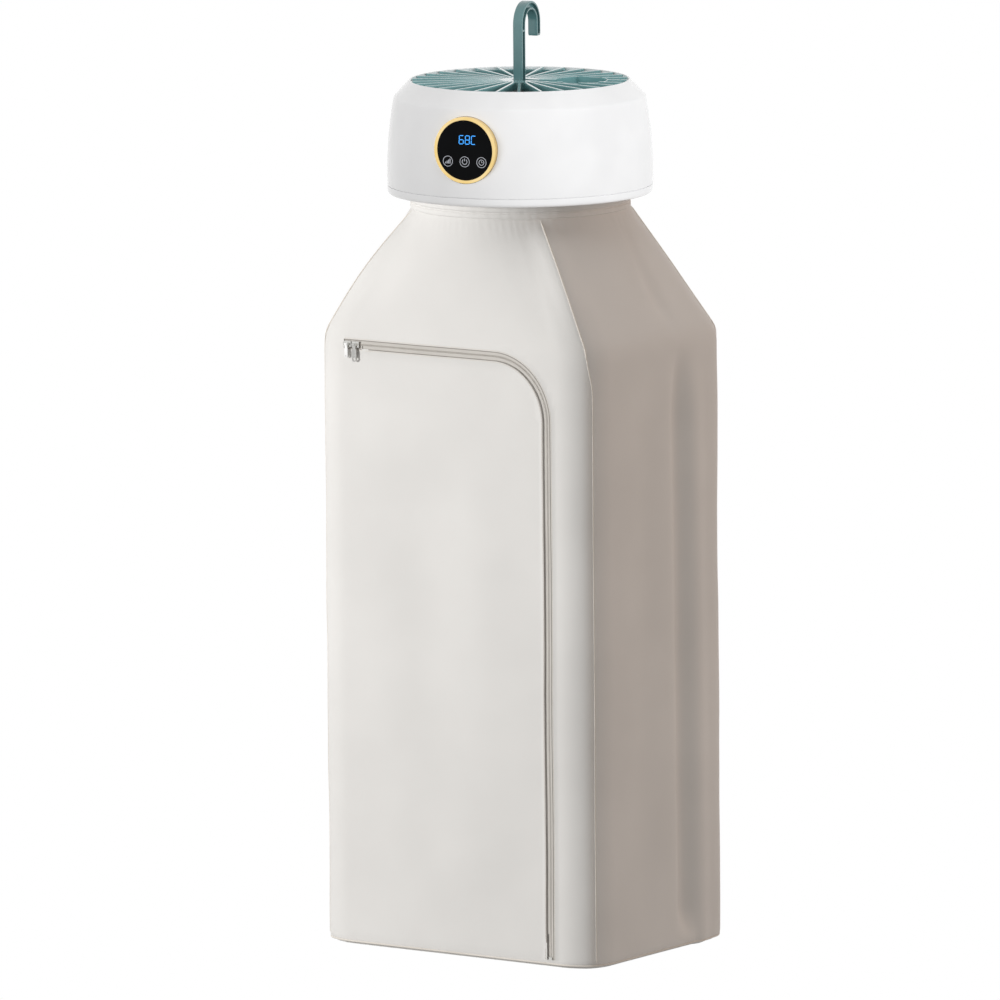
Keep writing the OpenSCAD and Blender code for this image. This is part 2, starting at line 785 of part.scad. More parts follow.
module neck_screws() {
    color("dimgray") on_head() round_bolts(boss_count, neck_screw_r)
        translate([0, 0, -head_d - neck_t]) screw(neck_screw_l);
}

module at_arm(i) {
    side = [[1, 1], [-1, 1], [-1, -1], [1, -1]][i];
    on_axis() rotate([0, 0, atan2(side[1] * corner_mid[1], side[0] * corner_mid[0])]) children();
}

module arm_brackets() {
    color("white") for (i = [0 : 3]) at_arm(i) difference() {
        for (s = [-1, 1]) translate([arm_pivot_r - 8, s * (arm_eye_w / 2 + fork_gap + fork_t / 2) - fork_t / 2,
            -arm_pivot_d - 6]) cube([16, fork_t, arm_pivot_d + 6 - head_d - neck_t]);
        translate([arm_pivot_r, 0, -arm_pivot_d]) rotate([90, 0, 0])
            cylinder(r = arm_pin_r, h = 30, center = true, $fn = 48);
    }
}

module arm_pins() {
    pin_len = arm_eye_w + 2 * fork_gap + 2 * fork_t;
    color("silver") for (i = [0 : 3]) at_arm(i) translate([arm_pivot_r, 0, -arm_pivot_d]) rotate([90, 0, 0])
        cylinder(r = arm_pin_r, h = pin_len, center = true, $fn = 48);
}

// An arm in its own frame: the pivot at the origin, the tube straight down
module arm_frame(i) {
    at_arm(i) translate([arm_pivot_r, 0, -arm_pivot_d]) rotate([0, -arm_tilt, 0]) children();
}

module arm(i) {
    color("silver") arm_frame(i) difference() {
        union() {
            rotate([90, 0, 0]) cylinder(r = arm_eye_r, h = arm_eye_w, center = true, $fn = 48);
            translate([0, 0, -arm_l + shoe_r - 2]) cylinder(r = arm_r, h = arm_l - shoe_r - 8, $fn = 48);
            translate([0, 0, -16]) cylinder(r = arm_eye_w / 2, h = 12, $fn = 48);
        }
        rotate([90, 0, 0]) cylinder(r = arm_pin_r + run_fit, h = 2 * arm_eye_w, center = true, $fn = 48);
    }
}

module shoe(i) {
    color("dimgray") arm_frame(i) translate([0, 0, -arm_l]) difference() {
        union() {
            sphere(r = shoe_r, $fn = 48);
            cylinder(r = shoe_r - 1, h = 22, $fn = 48);
        }
        translate([0, 0, shoe_r - 2]) cylinder(r = arm_r, h = 30, $fn = 48);
    }
}

module rod_brackets() {
    drop = rod_d + rod_r + 4 - head_d - neck_t;
    color("silver") on_axis() for (s = [-1, 1]) difference() {
        union() {
            translate([s * rod_bracket_x - rod_bracket_t / 2, -rod_bracket_w / 2, -rod_d - rod_r - 4])
                cube([rod_bracket_t, rod_bracket_w, drop]);
            translate([s > 0 ? rod_bracket_x - rod_bracket_t / 2 : -neck_flange_in - 8, -rod_bracket_w / 2,
                -head_d - neck_t - rod_bracket_t])
                cube([neck_flange_in + 8 - rod_bracket_x + rod_bracket_t / 2, rod_bracket_w, rod_bracket_t]);
        }
        translate([s * rod_bracket_x, 0, -rod_d]) rotate([0, 90, 0])
            cylinder(r = rod_r, h = 20, center = true, $fn = 48);
    }
}

module garment_rod() {
    color("silver") on_axis() translate([0, 0, -rod_d]) rotate([0, 90, 0]) {
        cylinder(r = rod_r, h = rod_l, center = true, $fn = 48);
        for (i = [0 : hanger_places - 1], s = [-1, 1])
            translate([0, 0, (i - (hanger_places - 1) / 2) * hanger_pitch + s * collar_pair / 2 - collar_w / 2 + s * collar_w / 2])
                cylinder(r = rod_r + 2, h = collar_w, $fn = 48);
    }
}

module rod_caps() {
    color("dimgray") on_axis() for (s = [-1, 1]) translate([s * rod_l / 2, 0, -rod_d]) rotate([0, s * 90, 0])
        difference() {
            translate([0, 0, -rod_cap_l + 2]) cylinder(r = rod_r + 2, h = rod_cap_l, $fn = 48);
            translate([0, 0, -rod_cap_l]) cylinder(r = rod_r, h = rod_cap_l, $fn = 48);
        }
}

// ---- Bag ----

module round_rect(inset) {
    r = corner_r - inset;
    square([2 * flat_x, bag_d - 2 * inset], center = true);
    square([bag_w - 2 * inset, 2 * flat_y], center = true);
    for (x = [-flat_x, flat_x], y = [-flat_y, flat_y]) translate([x, y]) circle(r = r);
}

module frame_wire(d) {
    r = corner_r - frame_inset;
    color("silver") on_axis() translate([0, 0, -d]) {
        for (s = [-1, 1]) {
            translate([-flat_x, s * (bag_d / 2 - frame_inset), 0]) rotate([0, 90, 0])
                cylinder(r = wire_r, h = 2 * flat_x, $fn = 32);
            translate([s * (bag_w / 2 - frame_inset), flat_y, 0]) rotate([90, 0, 0])
                cylinder(r = wire_r, h = 2 * flat_y, $fn = 32);
        }
        for (i = [0 : 3]) {
            side = [[1, 1], [-1, 1], [-1, -1], [1, -1]][i];
            translate([side[0] * flat_x, side[1] * flat_y, 0]) rotate([0, 0, 90 * i])
                rotate_extrude(angle = 90) translate([r, 0]) circle(r = wire_r, $fn = 32);
        }
    }
}

module shoulder_wire() {
    frame_wire(shoulder_wire_d);
}

module base_wire() {
    frame_wire(base_wire_d);
}

module bag_collar() {
    color("whitesmoke") on_axis() ring(collar_r, neck_r + cloth_gap, collar_top_d, collar_end_d - collar_top_d);
}

module shoulder_solid(inset, reach) {
    hull() {
        translate([0, 0, -collar_end_d - over / 10]) cylinder(r = collar_r - inset, h = over / 10 + reach, $fn = 96);
        translate([0, 0, -bag_shoulder_d - reach]) linear_extrude(over / 10 + reach)
            hull() for (x = [-flat_x, flat_x], y = [-flat_y, flat_y])
                translate([x, y]) circle(r = corner_r - inset, $fn = 48);
    }
}

module bag_shoulders() {
    color("whitesmoke") on_axis() difference() {
        shoulder_solid(0, 0);
        shoulder_solid(cloth_t, over / 20);
    }
}

// The side panels wrap round the upright corners, up to the flat front and back
module side_panel(s) {
    color("whitesmoke") on_axis() translate([0, 0, -panel_end_d])
        linear_extrude(panel_end_d - bag_shoulder_d) difference() {
            round_rect(0);
            round_rect(cloth_t);
            square([2 * flat_x, 2 * bag_d], center = true);
            translate([s > 0 ? -far : 0, -far / 2]) square(far);
        }
}

module bag_left() {
    side_panel(-1);
}

module bag_right() {
    side_panel(1);
}

module bag_back() {
    color("whitesmoke") on_axis() translate([-flat_x, bag_d / 2 - cloth_t, -panel_end_d])
        cube([2 * flat_x, cloth_t, panel_end_d - bag_shoulder_d]);
}

module bag_base() {
    color("whitesmoke") on_axis() translate([0, 0, -bag_bottom_d]) linear_extrude(base_panel_t) round_rect(0);
}

// Everything below the zip's top run and left of its upright run, grown by g
module inside_zip(g) {
    r = zip_bend_r + g;
    translate([-far, -far]) square([far + zip_x - zip_bend_r, far - zip_d + g]);
    translate([-far, -far]) square([far + zip_x + g, far - zip_d - zip_bend_r]);
    translate([zip_x - zip_bend_r, -zip_d - zip_bend_r]) circle(r = r);
}

// Everything above the door's fold line, moved up by g
module above_fold(g) {
    translate(fold_a) rotate(fold_angle) translate([-far, g]) square([2 * far, far]);
}

// Keeps what lies between the zip's two ends
module between_ends(x0, d1) {
    intersection() {
        children();
        translate([x0, -d1]) square([far, d1]);
    }
}

// Stands a flat outline of the front up, with its face y0 behind the front
module on_front(y0, t) {
    on_axis() translate([0, front_y + y0 + t, 0]) rotate([90, 0, 0]) linear_extrude(t) children();
}

module bag_front() {
    color("whitesmoke") on_front(0, cloth_t) difference() {
        translate([-flat_x, -panel_end_d]) square([2 * flat_x, panel_end_d - bag_shoulder_d]);
        between_ends(-zip_start_x, zip_end_d) intersection() {
            inside_zip(zip_gap);
            above_fold(0);
        }
        translate([-zip_start_x + over, -zip_d - zip_gap]) square([zip_sewn, 2 * zip_gap]);
    }
}

module door_flap() {
    color("whitesmoke") on_front(0, cloth_t) between_ends(-zip_start_x + zip_sewn + cloth_gap, zip_end_d) intersection() {
        inside_zip(-zip_gap);
        above_fold(cloth_gap);
    }
}

module door_tape() {
    color("gray") on_front(cloth_t, tape_t) between_ends(-zip_start_x + zip_sewn + cloth_gap, zip_end_d) difference() {
        intersection() {
            inside_zip(-coil_half - 2 * cloth_gap);
            above_fold(cloth_gap + 3);
        }
        inside_zip(-tape_w - coil_half);
    }
}

module zip_tape() {
    color("gray") on_front(cloth_t, tape_t) union() {
        between_ends(-zip_start_x, zip_end_d) difference() {
            intersection() {
                inside_zip(coil_half + tape_w);
                translate([-far, -far]) square([far + flat_x + 4, far]);
            }
            inside_zip(coil_half);
        }
        translate([-zip_start_x, -zip_d - coil_half - tape_w]) square([zip_sewn, tape_w]);
    }
}

module zip_coil() {
    color("dimgray") on_front(cloth_t / 2, coil_t) between_ends(-zip_start_x + 3, zip_end_d - 4) difference() {
        inside_zip(coil_half);
        inside_zip(-coil_half);
    }
}

module zip_stops() {
    color("silver") on_front(-cloth_t / 2, cloth_t / 2) {
        translate([-zip_start_x - stop_t / 4, -zip_d - stop_w / 2]) square([stop_t, stop_w]);
        translate([zip_x - stop_w / 2, -zip_end_d]) square([stop_w, 2 * stop_t]);
    }
}

module slider_at(x) {
    on_axis() translate([x, slider_front, -zip_d]) children();
}

module slider() {
    color("silver") {
        translate([-slider_l / 2, 0, -slider_h / 2]) cube([slider_l, slider_t, slider_h]);
        for (s = [-1, 1]) translate([s * ear_x - ear_t / 2, -ear_out, -1.5]) cube([ear_t, ear_out, 3]);
        translate([-ear_x, -ear_out + 1, 0]) rotate([0, 90, 0]) cylinder(r = bar_r, h = 2 * ear_x, $fn = 32);
    }
}

module zip_slider() {
    slider_at(slider_x) slider();
}

module parked_slider() {
    slider_at(parked_x) slider();
}

// A pull that hangs from its eye, with a flat of the given width and a hole near its end
module pull(w, l, hole_r) {
    translate([0, -ear_out + 1, 0]) difference() {
        union() {
            rotate([0, 90, 0]) cylinder(r = eye_r, h = eye_w, center = true, $fn = 32);
            translate([-eye_w / 2, -pull_t / 2, -8]) cube([eye_w, pull_t, 8]);
            translate([0, pull_t / 2, -l + w / 2]) rotate([90, 0, 0]) cylinder(r = w / 2, h = pull_t, $fn = 48);
            translate([-w / 2, -pull_t / 2, -l + w / 2]) cube([w, pull_t, l - w / 2 - 6]);
        }
        rotate([0, 90, 0]) cylinder(r = bar_r + run_fit, h = 2 * eye_w, center = true, $fn = 32);
        translate([0, pull_t, -l + w / 2]) rotate([90, 0, 0]) cylinder(r = hole_r, h = 2 * pull_t, $fn = 48);
    }
}

module slider_pull() {
    color("gray") slider_at(slider_x) pull(pull_w, pull_l, pull_w / 2 - 1.8);
}

module parked_pull() {
    color("white") slider_at(parked_x) pull(eye_w + 0.6, pull_l * 0.8, 1);
}

upper_housing();
base_shell();
intake_grille();
intake_guard();
dust_filter();
hook_anchor();
hook_pin();
hook();
fan_shroud();
motor_bracket();
motor();
motor_screws();
motor_shaft();
impeller();
heater_frame();
heater_bars();
heater_fins();
thermostat();
control_board();
display_board();
display_glass();
display_bezel();
outlet_grille();
neck_collar();
neck_screws();
base_screws();
mains_inlet();
inlet_pins();
mains_loom();
arm_brackets();
arm_pins();
arm(2);  // arm_front_left
arm(3);  // arm_front_right
arm(1);  // arm_rear_left
arm(0);  // arm_rear_right
shoe(2);  // shoe_front_left
shoe(3);  // shoe_front_right
shoe(1);  // shoe_rear_left
shoe(0);  // shoe_rear_right
rod_brackets();
garment_rod();
rod_caps();
shoulder_wire();
base_wire();
bag_collar();
bag_shoulders();
bag_front();
bag_back();
bag_left();
bag_right();
bag_base();
door_flap();
door_tape();
zip_tape();
zip_coil();
zip_stops();
zip_slider();
parked_slider();
slider_pull();
parked_pull();
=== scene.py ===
import math

import bmesh
import bpy
import numpy as np
from mathutils import Matrix, Vector, geometry, noise


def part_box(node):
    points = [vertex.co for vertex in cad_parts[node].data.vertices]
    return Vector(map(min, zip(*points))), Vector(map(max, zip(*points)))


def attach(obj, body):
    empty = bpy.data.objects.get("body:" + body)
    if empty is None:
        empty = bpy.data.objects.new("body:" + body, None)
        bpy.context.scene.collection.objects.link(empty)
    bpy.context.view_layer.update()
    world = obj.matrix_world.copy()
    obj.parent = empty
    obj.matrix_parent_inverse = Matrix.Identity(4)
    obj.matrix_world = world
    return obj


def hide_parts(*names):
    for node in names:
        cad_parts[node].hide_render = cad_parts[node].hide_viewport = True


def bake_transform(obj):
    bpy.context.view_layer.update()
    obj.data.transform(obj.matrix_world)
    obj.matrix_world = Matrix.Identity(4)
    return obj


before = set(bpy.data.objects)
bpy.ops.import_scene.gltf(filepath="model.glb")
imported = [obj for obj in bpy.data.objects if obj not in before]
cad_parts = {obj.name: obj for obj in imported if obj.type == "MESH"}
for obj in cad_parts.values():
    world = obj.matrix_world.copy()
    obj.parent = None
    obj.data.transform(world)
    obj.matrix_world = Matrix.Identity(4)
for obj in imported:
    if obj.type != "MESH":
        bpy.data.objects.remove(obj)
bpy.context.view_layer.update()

# ---- Studio: camera, lights and floor ----
# The dryer hangs in front of a white backdrop, over a pale floor that it doesn't touch.
# Softboxes light the bag from the left, its side more warmly, the back, and the white head all round.
camera_azimuth = math.radians(35)
camera_elevation = math.radians(8.4)
camera_roll = math.radians(-0.45)
camera_distance, camera_lens = 20.0, 514.5
camera_near, camera_far = 5, 80
aim_left, aim_up, aim_depth = 0.0318, 0.0072, 0.6
floor_gap, floor_radius = 0.36, 2.4
floor_paint = 0.9
shade_white, shade_from, shade_to = 0.93, 0.15, 1.1
warm_white, world_strength = (1.0, 0.975, 0.94, 1), 0.3
warm_light, cool_light = (1.0, 0.72, 0.56), (0.98, 0.99, 1.0)

axis_low, axis_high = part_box("motor")
axis_x, axis_y = (axis_low.x + axis_high.x) / 2, (axis_low.y + axis_high.y) / 2
grille_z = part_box("upper_housing")[1].z
floor_place = (axis_x, axis_y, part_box("bag_base")[0].z - floor_gap)


def toward(azimuth, elevation):
    """The direction from the dryer to a place at this azimuth and elevation."""
    flat = math.cos(elevation)
    return Vector((math.sin(azimuth) * flat, -math.cos(azimuth) * flat, math.sin(elevation)))


def put(name, data):
    """A new object in the scene."""
    made = bpy.data.objects.new(name, data)
    bpy.context.scene.collection.objects.link(made)
    return made


def fill(node, inputs):
    """Fills a node's inputs with values, with sockets, or with the first output of other nodes."""
    for key, value in inputs.items():
        if isinstance(value, bpy.types.Node):
            value = value.outputs[0]
        if isinstance(value, bpy.types.NodeSocket):
            node.id_data.links.new(value, node.inputs[key])
        else:
            node.inputs[key].default_value = value


def add(tree, kind, inputs=None, **settings):
    """Adds a node, sets its properties and fills its inputs."""
    node = tree.nodes.new(kind)
    for key, value in settings.items():
        setattr(node, key, value)
    fill(node, inputs or {})
    return node


def seen_directly(tree):
    """1 for camera, mirror and see-through rays, and 0 for the rays that light the dryer."""
    ray = add(tree, "ShaderNodeLightPath").outputs
    seen = ray["Is Camera Ray"]
    for other in ("Is Glossy Ray", "Is Transmission Ray"):
        seen = add(tree, "ShaderNodeMath", {0: seen, 1: ray[other]}, operation="MAXIMUM")
    return seen


def make_camera():
    back = toward(camera_azimuth, camera_elevation)
    right = Vector((math.cos(camera_azimuth), math.sin(camera_azimuth), 0))
    up = back.cross(right)
    aim = Vector((axis_x, axis_y, grille_z - aim_depth)) - right * aim_left + up * aim_up
    camera = put("camera", bpy.data.cameras.new("camera"))
    turn = Matrix((right, up, back)).transposed().to_4x4()
    roll = Matrix.Rotation(camera_roll, 4, "Z")
    camera.matrix_world = Matrix.Translation(aim + back * camera_distance) @ turn @ roll
    camera.data.lens = camera_lens
    camera.data.clip_start, camera.data.clip_end = camera_near, camera_far
    bpy.context.scene.camera = camera


def softbox(name, azimuth, elevation, size, power, tint=(1, 1, 1), height=0.0, distance=3.6):
    """A square soft light that faces the dryer's middle, raised by height."""
    lamp = bpy.data.lights.new(name, "AREA")
    lamp.shape, lamp.size, lamp.energy, lamp.color = "SQUARE", size, power, tint
    light = put(name, lamp)
    light.visible_glossy = False
    back = toward(math.radians(azimuth), math.radians(elevation))
    middle = Vector((axis_x, axis_y, grille_z - aim_depth + height))
    turn = back.to_track_quat("Z", "Y").to_matrix().to_4x4()
    light.matrix_world = Matrix.Translation(middle + back * distance) @ turn
    return light


def make_world():
    world = bpy.data.worlds.new("studio")
    bpy.context.scene.world = world
    world.use_nodes = True
    tree = world.node_tree
    soft = add(tree, "ShaderNodeBackground", {"Color": warm_white, "Strength": world_strength})
    white = add(tree, "ShaderNodeBackground", {"Color": (1, 1, 1, 1), "Strength": 1.0})
    mixed = add(tree, "ShaderNodeMixShader", {0: seen_directly(tree), 1: soft, 2: white})
    fill(tree.nodes["World Output"], {"Surface": mixed})


def make_floor():
    """A round floor, white to the eye, a little darker under the dryer, and see-through from below."""
    mesh = bpy.data.meshes.new("floor")
    shape = bmesh.new()
    bmesh.ops.create_circle(shape, cap_ends=True, segments=96, radius=floor_radius,
                            matrix=Matrix.Translation(floor_place))
    shape.to_mesh(mesh)
    shape.free()
    made = bpy.data.materials.new("painted_studio_floor")
    made.use_nodes = True
    tree = made.node_tree
    matt = add(tree, "ShaderNodeBsdfDiffuse", {"Color": (floor_paint, floor_paint, floor_paint, 1)})
    glow = add(tree, "ShaderNodeEmission", {"Color": (1, 1, 1, 1), "Strength": 1.0})
    place = add(tree, "ShaderNodeTexCoord").outputs["Object"]
    away = add(tree, "ShaderNodeVectorMath", {0: place, 1: floor_place}, operation="DISTANCE")
    fade = add(tree, "ShaderNodeMapRange", {"Value": away.outputs["Value"], "From Min": shade_from,
                                            "From Max": shade_to, "To Min": shade_white, "To Max": 1.0})
    share = add(tree, "ShaderNodeMath", {0: seen_directly(tree), 1: fade}, operation="MULTIPLY")
    mixed = add(tree, "ShaderNodeMixShader", {0: share, 1: matt, 2: glow})
    below = add(tree, "ShaderNodeNewGeometry").outputs["Backfacing"]
    clear = add(tree, "ShaderNodeBsdfTransparent")
    one_sided = add(tree, "ShaderNodeMixShader", {0: below, 1: mixed, 2: clear})
    fill(tree.nodes["Material Output"], {"Surface": one_sided})
    mesh.materials.append(made)
    put("floor", mesh)


make_camera()
make_world()
make_floor()
bag_lights = [softbox("bag_key", -31, 9, 0.9, 102),
              softbox("bag_fill", 116, 16, 1.2, 27, warm_light)]
head_lights = [softbox("head_key", -18, 14, 2.0, 55, cool_light, 0.5),
               softbox("head_fill", 88, 8, 2.0, 90, cool_light, 0.5)]
softbox("top_light", 40, 74, 1.2, 5, distance=3.0)
softbox("back_light", 208, 12, 2.0, 34)
bpy.context.scene.view_settings.view_transform = "Standard"

# ---- Blower head: the two housing shells ----
# Two shells of white ABS, injection moulded and left with the mould's polish.
# The base shell plugs into the upper one and is screwed to it, with a fine gap where they meet.
head_turn = math.radians(10.5)
rim_r, rim_w = 152, 2
shoulder_r, shoulder_depth = 175.7, 23
belly_r, belly_depth, wall_curve_r = 185.5, 127, 557
split_depth, head_depth = 146, 158
base_round, shell_t = 11, 3
grille_t, ledge_t, ledge_r = 12, 3, 140
duct_r = 115
parting_gap, parting_inset, plug_rise = 0.7, 1.6, 4
display_depth, bezel_r, display_fit = 79, 46.5, 0.3
bezel_len = 17
display_face = 186.43
cup_gap, cup_wall, cup_lap, cup_hole = 1.6, 3, 8, 10
inlet_w, inlet_h, inlet_depth, inlet_fit = 28, 20, 112, 0.1
boss_count, boss_r, boss_at, boss_web = 6, 5, 168.5, 2.5
boss_bore_r, boss_top = 1.6, 54
screw_head_r, screw_head_h = 3.3, 2.1
round_steps = 192

MM = 0.001
upright = Matrix.Rotation(math.pi / 2, 4, "X")
axis_place = Matrix.Translation((axis_x, axis_y, grille_z)) @ Matrix.Scale(MM, 4)
head_place = axis_place @ Matrix.Rotation(head_turn, 4, "Z")
display_place = head_place @ Matrix.Translation((0, 0, -display_depth)) @ upright


def wall_radius(depth):
    """The radius of the head's bowed wall at a depth under the grille."""
    return belly_r - wall_curve_r + math.sqrt(wall_curve_r**2 - (depth - belly_depth) ** 2)


def wall_line(inset, start, end, steps):
    """Corners down the head's bowed wall, moved in by inset."""
    return [(wall_radius(depth) - inset, -depth, 0) for depth in np.linspace(start, end, steps)]


def turns(count):
    """Angles set evenly round a circle."""
    return [2 * math.pi * i / count for i in range(count)]


def rounded(corners, steps=5):
    """The outline through corners of (x, y, radius), with each corner rounded."""
    points = []
    for i, (x, y, radius) in enumerate(corners):
        here = Vector((x, y))
        before = Vector(corners[i - 1][:2]) - here
        after = Vector(corners[(i + 1) % len(corners)][:2]) - here
        if radius == 0 or before.length < 1e-6 or after.length < 1e-6:
            points.append(here)
            continue
        half = before.angle(after) / 2
        reach = min(radius / max(math.tan(half), 1e-3), 0.49 * before.length, 0.49 * after.length)
        start, end = here + before.normalized() * reach, here + after.normalized() * reach
        for k in range(steps + 1):
            t = k / steps
            points.append(start * (1 - t) ** 2 + here * 2 * t * (1 - t) + end * t**2)
    return points


def skin(rings, count, loop=False, open_by=0):
    """Faces between rings of count points; loop joins the last ring to the first one."""
    return [(i * count + k, i * count + (k + 1) % count,
             (i + 1) % rings * count + (k + 1) % count, (i + 1) % rings * count + k)
            for i in range(rings if loop else rings - 1) for k in range(count - open_by)]


def new_piece(name, points, faces):
    mesh = bpy.data.meshes.new(name)
    mesh.from_pydata([tuple(p) for p in points], [], faces)
    return put(name, mesh)


def tidy_mesh(piece, merge=0.001):
    """Merges doubles and turns all faces outwards."""
    shape = bmesh.new()
    shape.from_mesh(piece.data)
    bmesh.ops.remove_doubles(shape, verts=shape.verts, dist=merge)
    bmesh.ops.dissolve_degenerate(shape, edges=shape.edges, dist=merge / 10)
    bmesh.ops.recalc_face_normals(shape, faces=shape.faces)
    shape.to_mesh(piece.data)
    shape.free()
    return piece


def tube(name, rings, loop=False, merge=0.001):
    """A closed surface over rings of points, with its ends capped unless it is a loop."""
    count = len(rings[0])
    faces = skin(len(rings), count, loop)
    if not loop:
        faces += [tuple(range(count)), tuple(range((len(rings) - 1) * count, len(rings) * count))]
    return tidy_mesh(new_piece(name, [point for ring in rings for point in ring], faces), merge)


def lathe(name, outline, steps=round_steps):
    """Turns a closed outline of (radius, height) round the local Z axis."""
    rings = [[(r * math.cos(a), r * math.sin(a), z) for r, z in outline] for a in turns(steps)]
    return tube(name, rings, loop=True)


def block(name, low, high):
    """A box between two corners."""
    xs, ys, zs = zip(low, high)
    points = [(x, y, z) for z in zs for y in ys for x in xs]
    faces = [(0, 2, 3, 1), (4, 5, 7, 6), (0, 1, 5, 4), (2, 6, 7, 3), (0, 4, 6, 2), (1, 3, 7, 5)]
    return new_piece(name, points, faces)


def prism(name, outline, low, high):
    """A flat outline raised from low to high along local Z."""
    count, points = len(outline), [(p[0], p[1], z) for z in (low, high) for p in outline]
    ends = [tuple(range(count))[::-1], tuple(range(count, 2 * count))]
    return tidy_mesh(new_piece(name, points, ends + skin(2, count)))


def disc(name, radius, low, high, centre=(0, 0), steps=64):
    outline = [(centre[0] + radius * math.cos(a), centre[1] + radius * math.sin(a)) for a in turns(steps)]
    return prism(name, outline, low, high)


def bake(piece):
    """Turns the piece's modifiers into its plain mesh."""
    bpy.context.view_layer.update()
    made = bpy.data.meshes.new_from_object(piece.evaluated_get(bpy.context.evaluated_depsgraph_get()))
    piece.modifiers.clear()
    piece.data = made
    return piece


def combine(piece, others, operation, overlapping=False):
    """Cuts the other pieces from the piece, or adds them to it."""
    for other in others:
        step = piece.modifiers.new(operation.lower(), "BOOLEAN")
        step.operation, step.object, step.solver = operation, other, "EXACT"
        step.use_self = overlapping
    bake(piece)
    for other in others:
        bpy.data.objects.remove(other)
    return piece


def join(name, pieces):
    """Puts the pieces' meshes into the first one as they are, and names it."""
    shape = bmesh.new()
    for piece in pieces:
        shape.from_mesh(piece.data)
    shape.to_mesh(pieces[0].data)
    shape.free()
    for piece in pieces[1:]:
        bpy.data.objects.remove(piece)
    pieces[0].name = name
    return pieces[0]


def dress(piece, place, material, body, slot, *nodes, crease=32):
    """Places the piece in the frame, gives it its finish, and rides it on its body."""
    piece.data.transform(place)
    piece.data.materials.clear()
    piece.data.materials.append(material)
    piece.data.shade_smooth()
    piece.data.set_sharp_from_angle(angle=math.radians(crease))
    if body:
        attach(piece, body)
    if nodes:
        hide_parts(*nodes)
    return piece


def colour(code):
    """An sRGB colour such as #A0B1C2 as linear red, green, blue and 1."""
    parts = [int(code[i:i + 2], 16) / 255 for i in (1, 3, 5)]
    return (*[p / 12.92 if p <= 0.04045 else ((p + 0.055) / 1.055) ** 2.4 for p in parts], 1)


def set_ramp(ramp, *stops):
    """Gives a colour ramp its stops, each a place and a colour."""
    for element, (place, code) in zip(ramp.color_ramp.elements, stops):
        element.position, element.color = place, colour(code)


def finish_of(name, low, high, patch_mm, grain_mm, rough, rough_spread, grain_height_mm,
              constants=None, stretch=(1, 1, 1)):
    """A solid finish: its colour drifts in patches, and a fine grain moves its gloss and surface."""
    made = bpy.data.materials.new(name)
    made.use_nodes = True
    tree = made.node_tree
    place = add(tree, "ShaderNodeMapping",
                {"Vector": add(tree, "ShaderNodeTexCoord").outputs["Object"], "Scale": stretch})
    patches, grain = [
        add(tree, "ShaderNodeTexNoise", {"Vector": place, "Scale": 1000 / size, "Detail": detail})
        for size, detail in ((patch_mm, 2.0), (grain_mm, 3.0))]
    ramp = add(tree, "ShaderNodeValToRGB", {"Fac": patches.outputs["Fac"]})
    set_ramp(ramp, (0.35, low), (0.65, high))
    gloss = add(tree, "ShaderNodeMapRange", {"Value": grain.outputs["Fac"], "To Min": rough - rough_spread,
                                             "To Max": rough + rough_spread})
    bump = add(tree, "ShaderNodeBump", {"Height": grain.outputs["Fac"], "Distance": grain_height_mm * MM,
                                        "Strength": 1.0})
    fill(tree.nodes["Principled BSDF"], {**(constants or {}), "Base Color": ramp, "Roughness": gloss,
                                         "Normal": bump})
    return made


# High-gloss moulded ABS: a bright white with clear reflections that waver a little, as on a moulding.
gloss_abs = finish_of("gloss_moulded_white_abs", "#EFEFF0", "#F4F4F5", 90, 7, 0.16, 0.03, 0.02,
                      {"IOR": 1.53, "Coat Weight": 0.35, "Coat Roughness": 0.06})


def housing_top():
    lower = split_depth - parting_gap / 2
    plug_r = wall_radius(split_depth) - parting_inset
    shell = lathe("housing_top", rounded([
        (rim_r, -grille_t, 0), (rim_r, 0, 0.7), (rim_r + rim_w, 0, 1.6),
        (shoulder_r, -shoulder_depth, 9), *wall_line(0, shoulder_depth + 9, lower - 1.2, 14),
        (wall_radius(lower), -lower, 0.6), (plug_r, -lower, 0.2), (plug_r, -split_depth, 0),
        *wall_line(shell_t, split_depth, shoulder_depth + shell_t, 8),
        (rim_r + rim_w + shell_t, -grille_t - ledge_t, 2), (ledge_r, -grille_t - ledge_t, 0.3),
        (ledge_r, -grille_t, 0.3)]))
    cup_r = bezel_r + display_fit
    hole = disc("hole", cup_r, 120, 200, steps=128)
    floor, back = display_face - bezel_len - cup_gap, display_face - bezel_len - cup_gap - cup_wall
    cup = lathe("cup", rounded([
        (cup_r, floor + cup_lap, 0.5), (cup_r + cup_wall, floor + cup_lap, 0.5),
        (cup_r + cup_wall, back, 1), (bezel_r - cup_hole, back, 0),
        (bezel_r - cup_hole, floor, 0), (cup_r, floor, 0)]), 96)
    for part in (hole, cup):
        part.data.transform(Matrix.Translation((0, 0, -display_depth)) @ upright)
    half_w, half_h = inlet_w / 2 + inlet_fit, inlet_h / 2 + inlet_fit
    slot = block("slot", (-half_w, 150, -inlet_depth - half_h), (half_w, 200, -inlet_depth + half_h))
    combine(shell, [hole, slot], "DIFFERENCE")
    bosses = []
    for angle in turns(boss_count):
        turn = Matrix.Rotation(angle, 4, "Z")
        post = lathe("boss", [(boss_bore_r, -split_depth), (boss_r, -split_depth),
                              (boss_r, -boss_top), (boss_bore_r, -boss_top)], 32)
        web = prism("web", [(boss_at + 2, -boss_top), *wall_line(shell_t / 2, boss_top, split_depth - 5, 12),
                            (boss_at + 2, 5 - split_depth)], -boss_web / 2, boss_web / 2)
        post.data.transform(turn @ Matrix.Translation((boss_at, 0, 0)))
        web.data.transform(turn @ upright)
        bosses += [post, web]
    return join("housing_top", [shell, cup, *bosses])


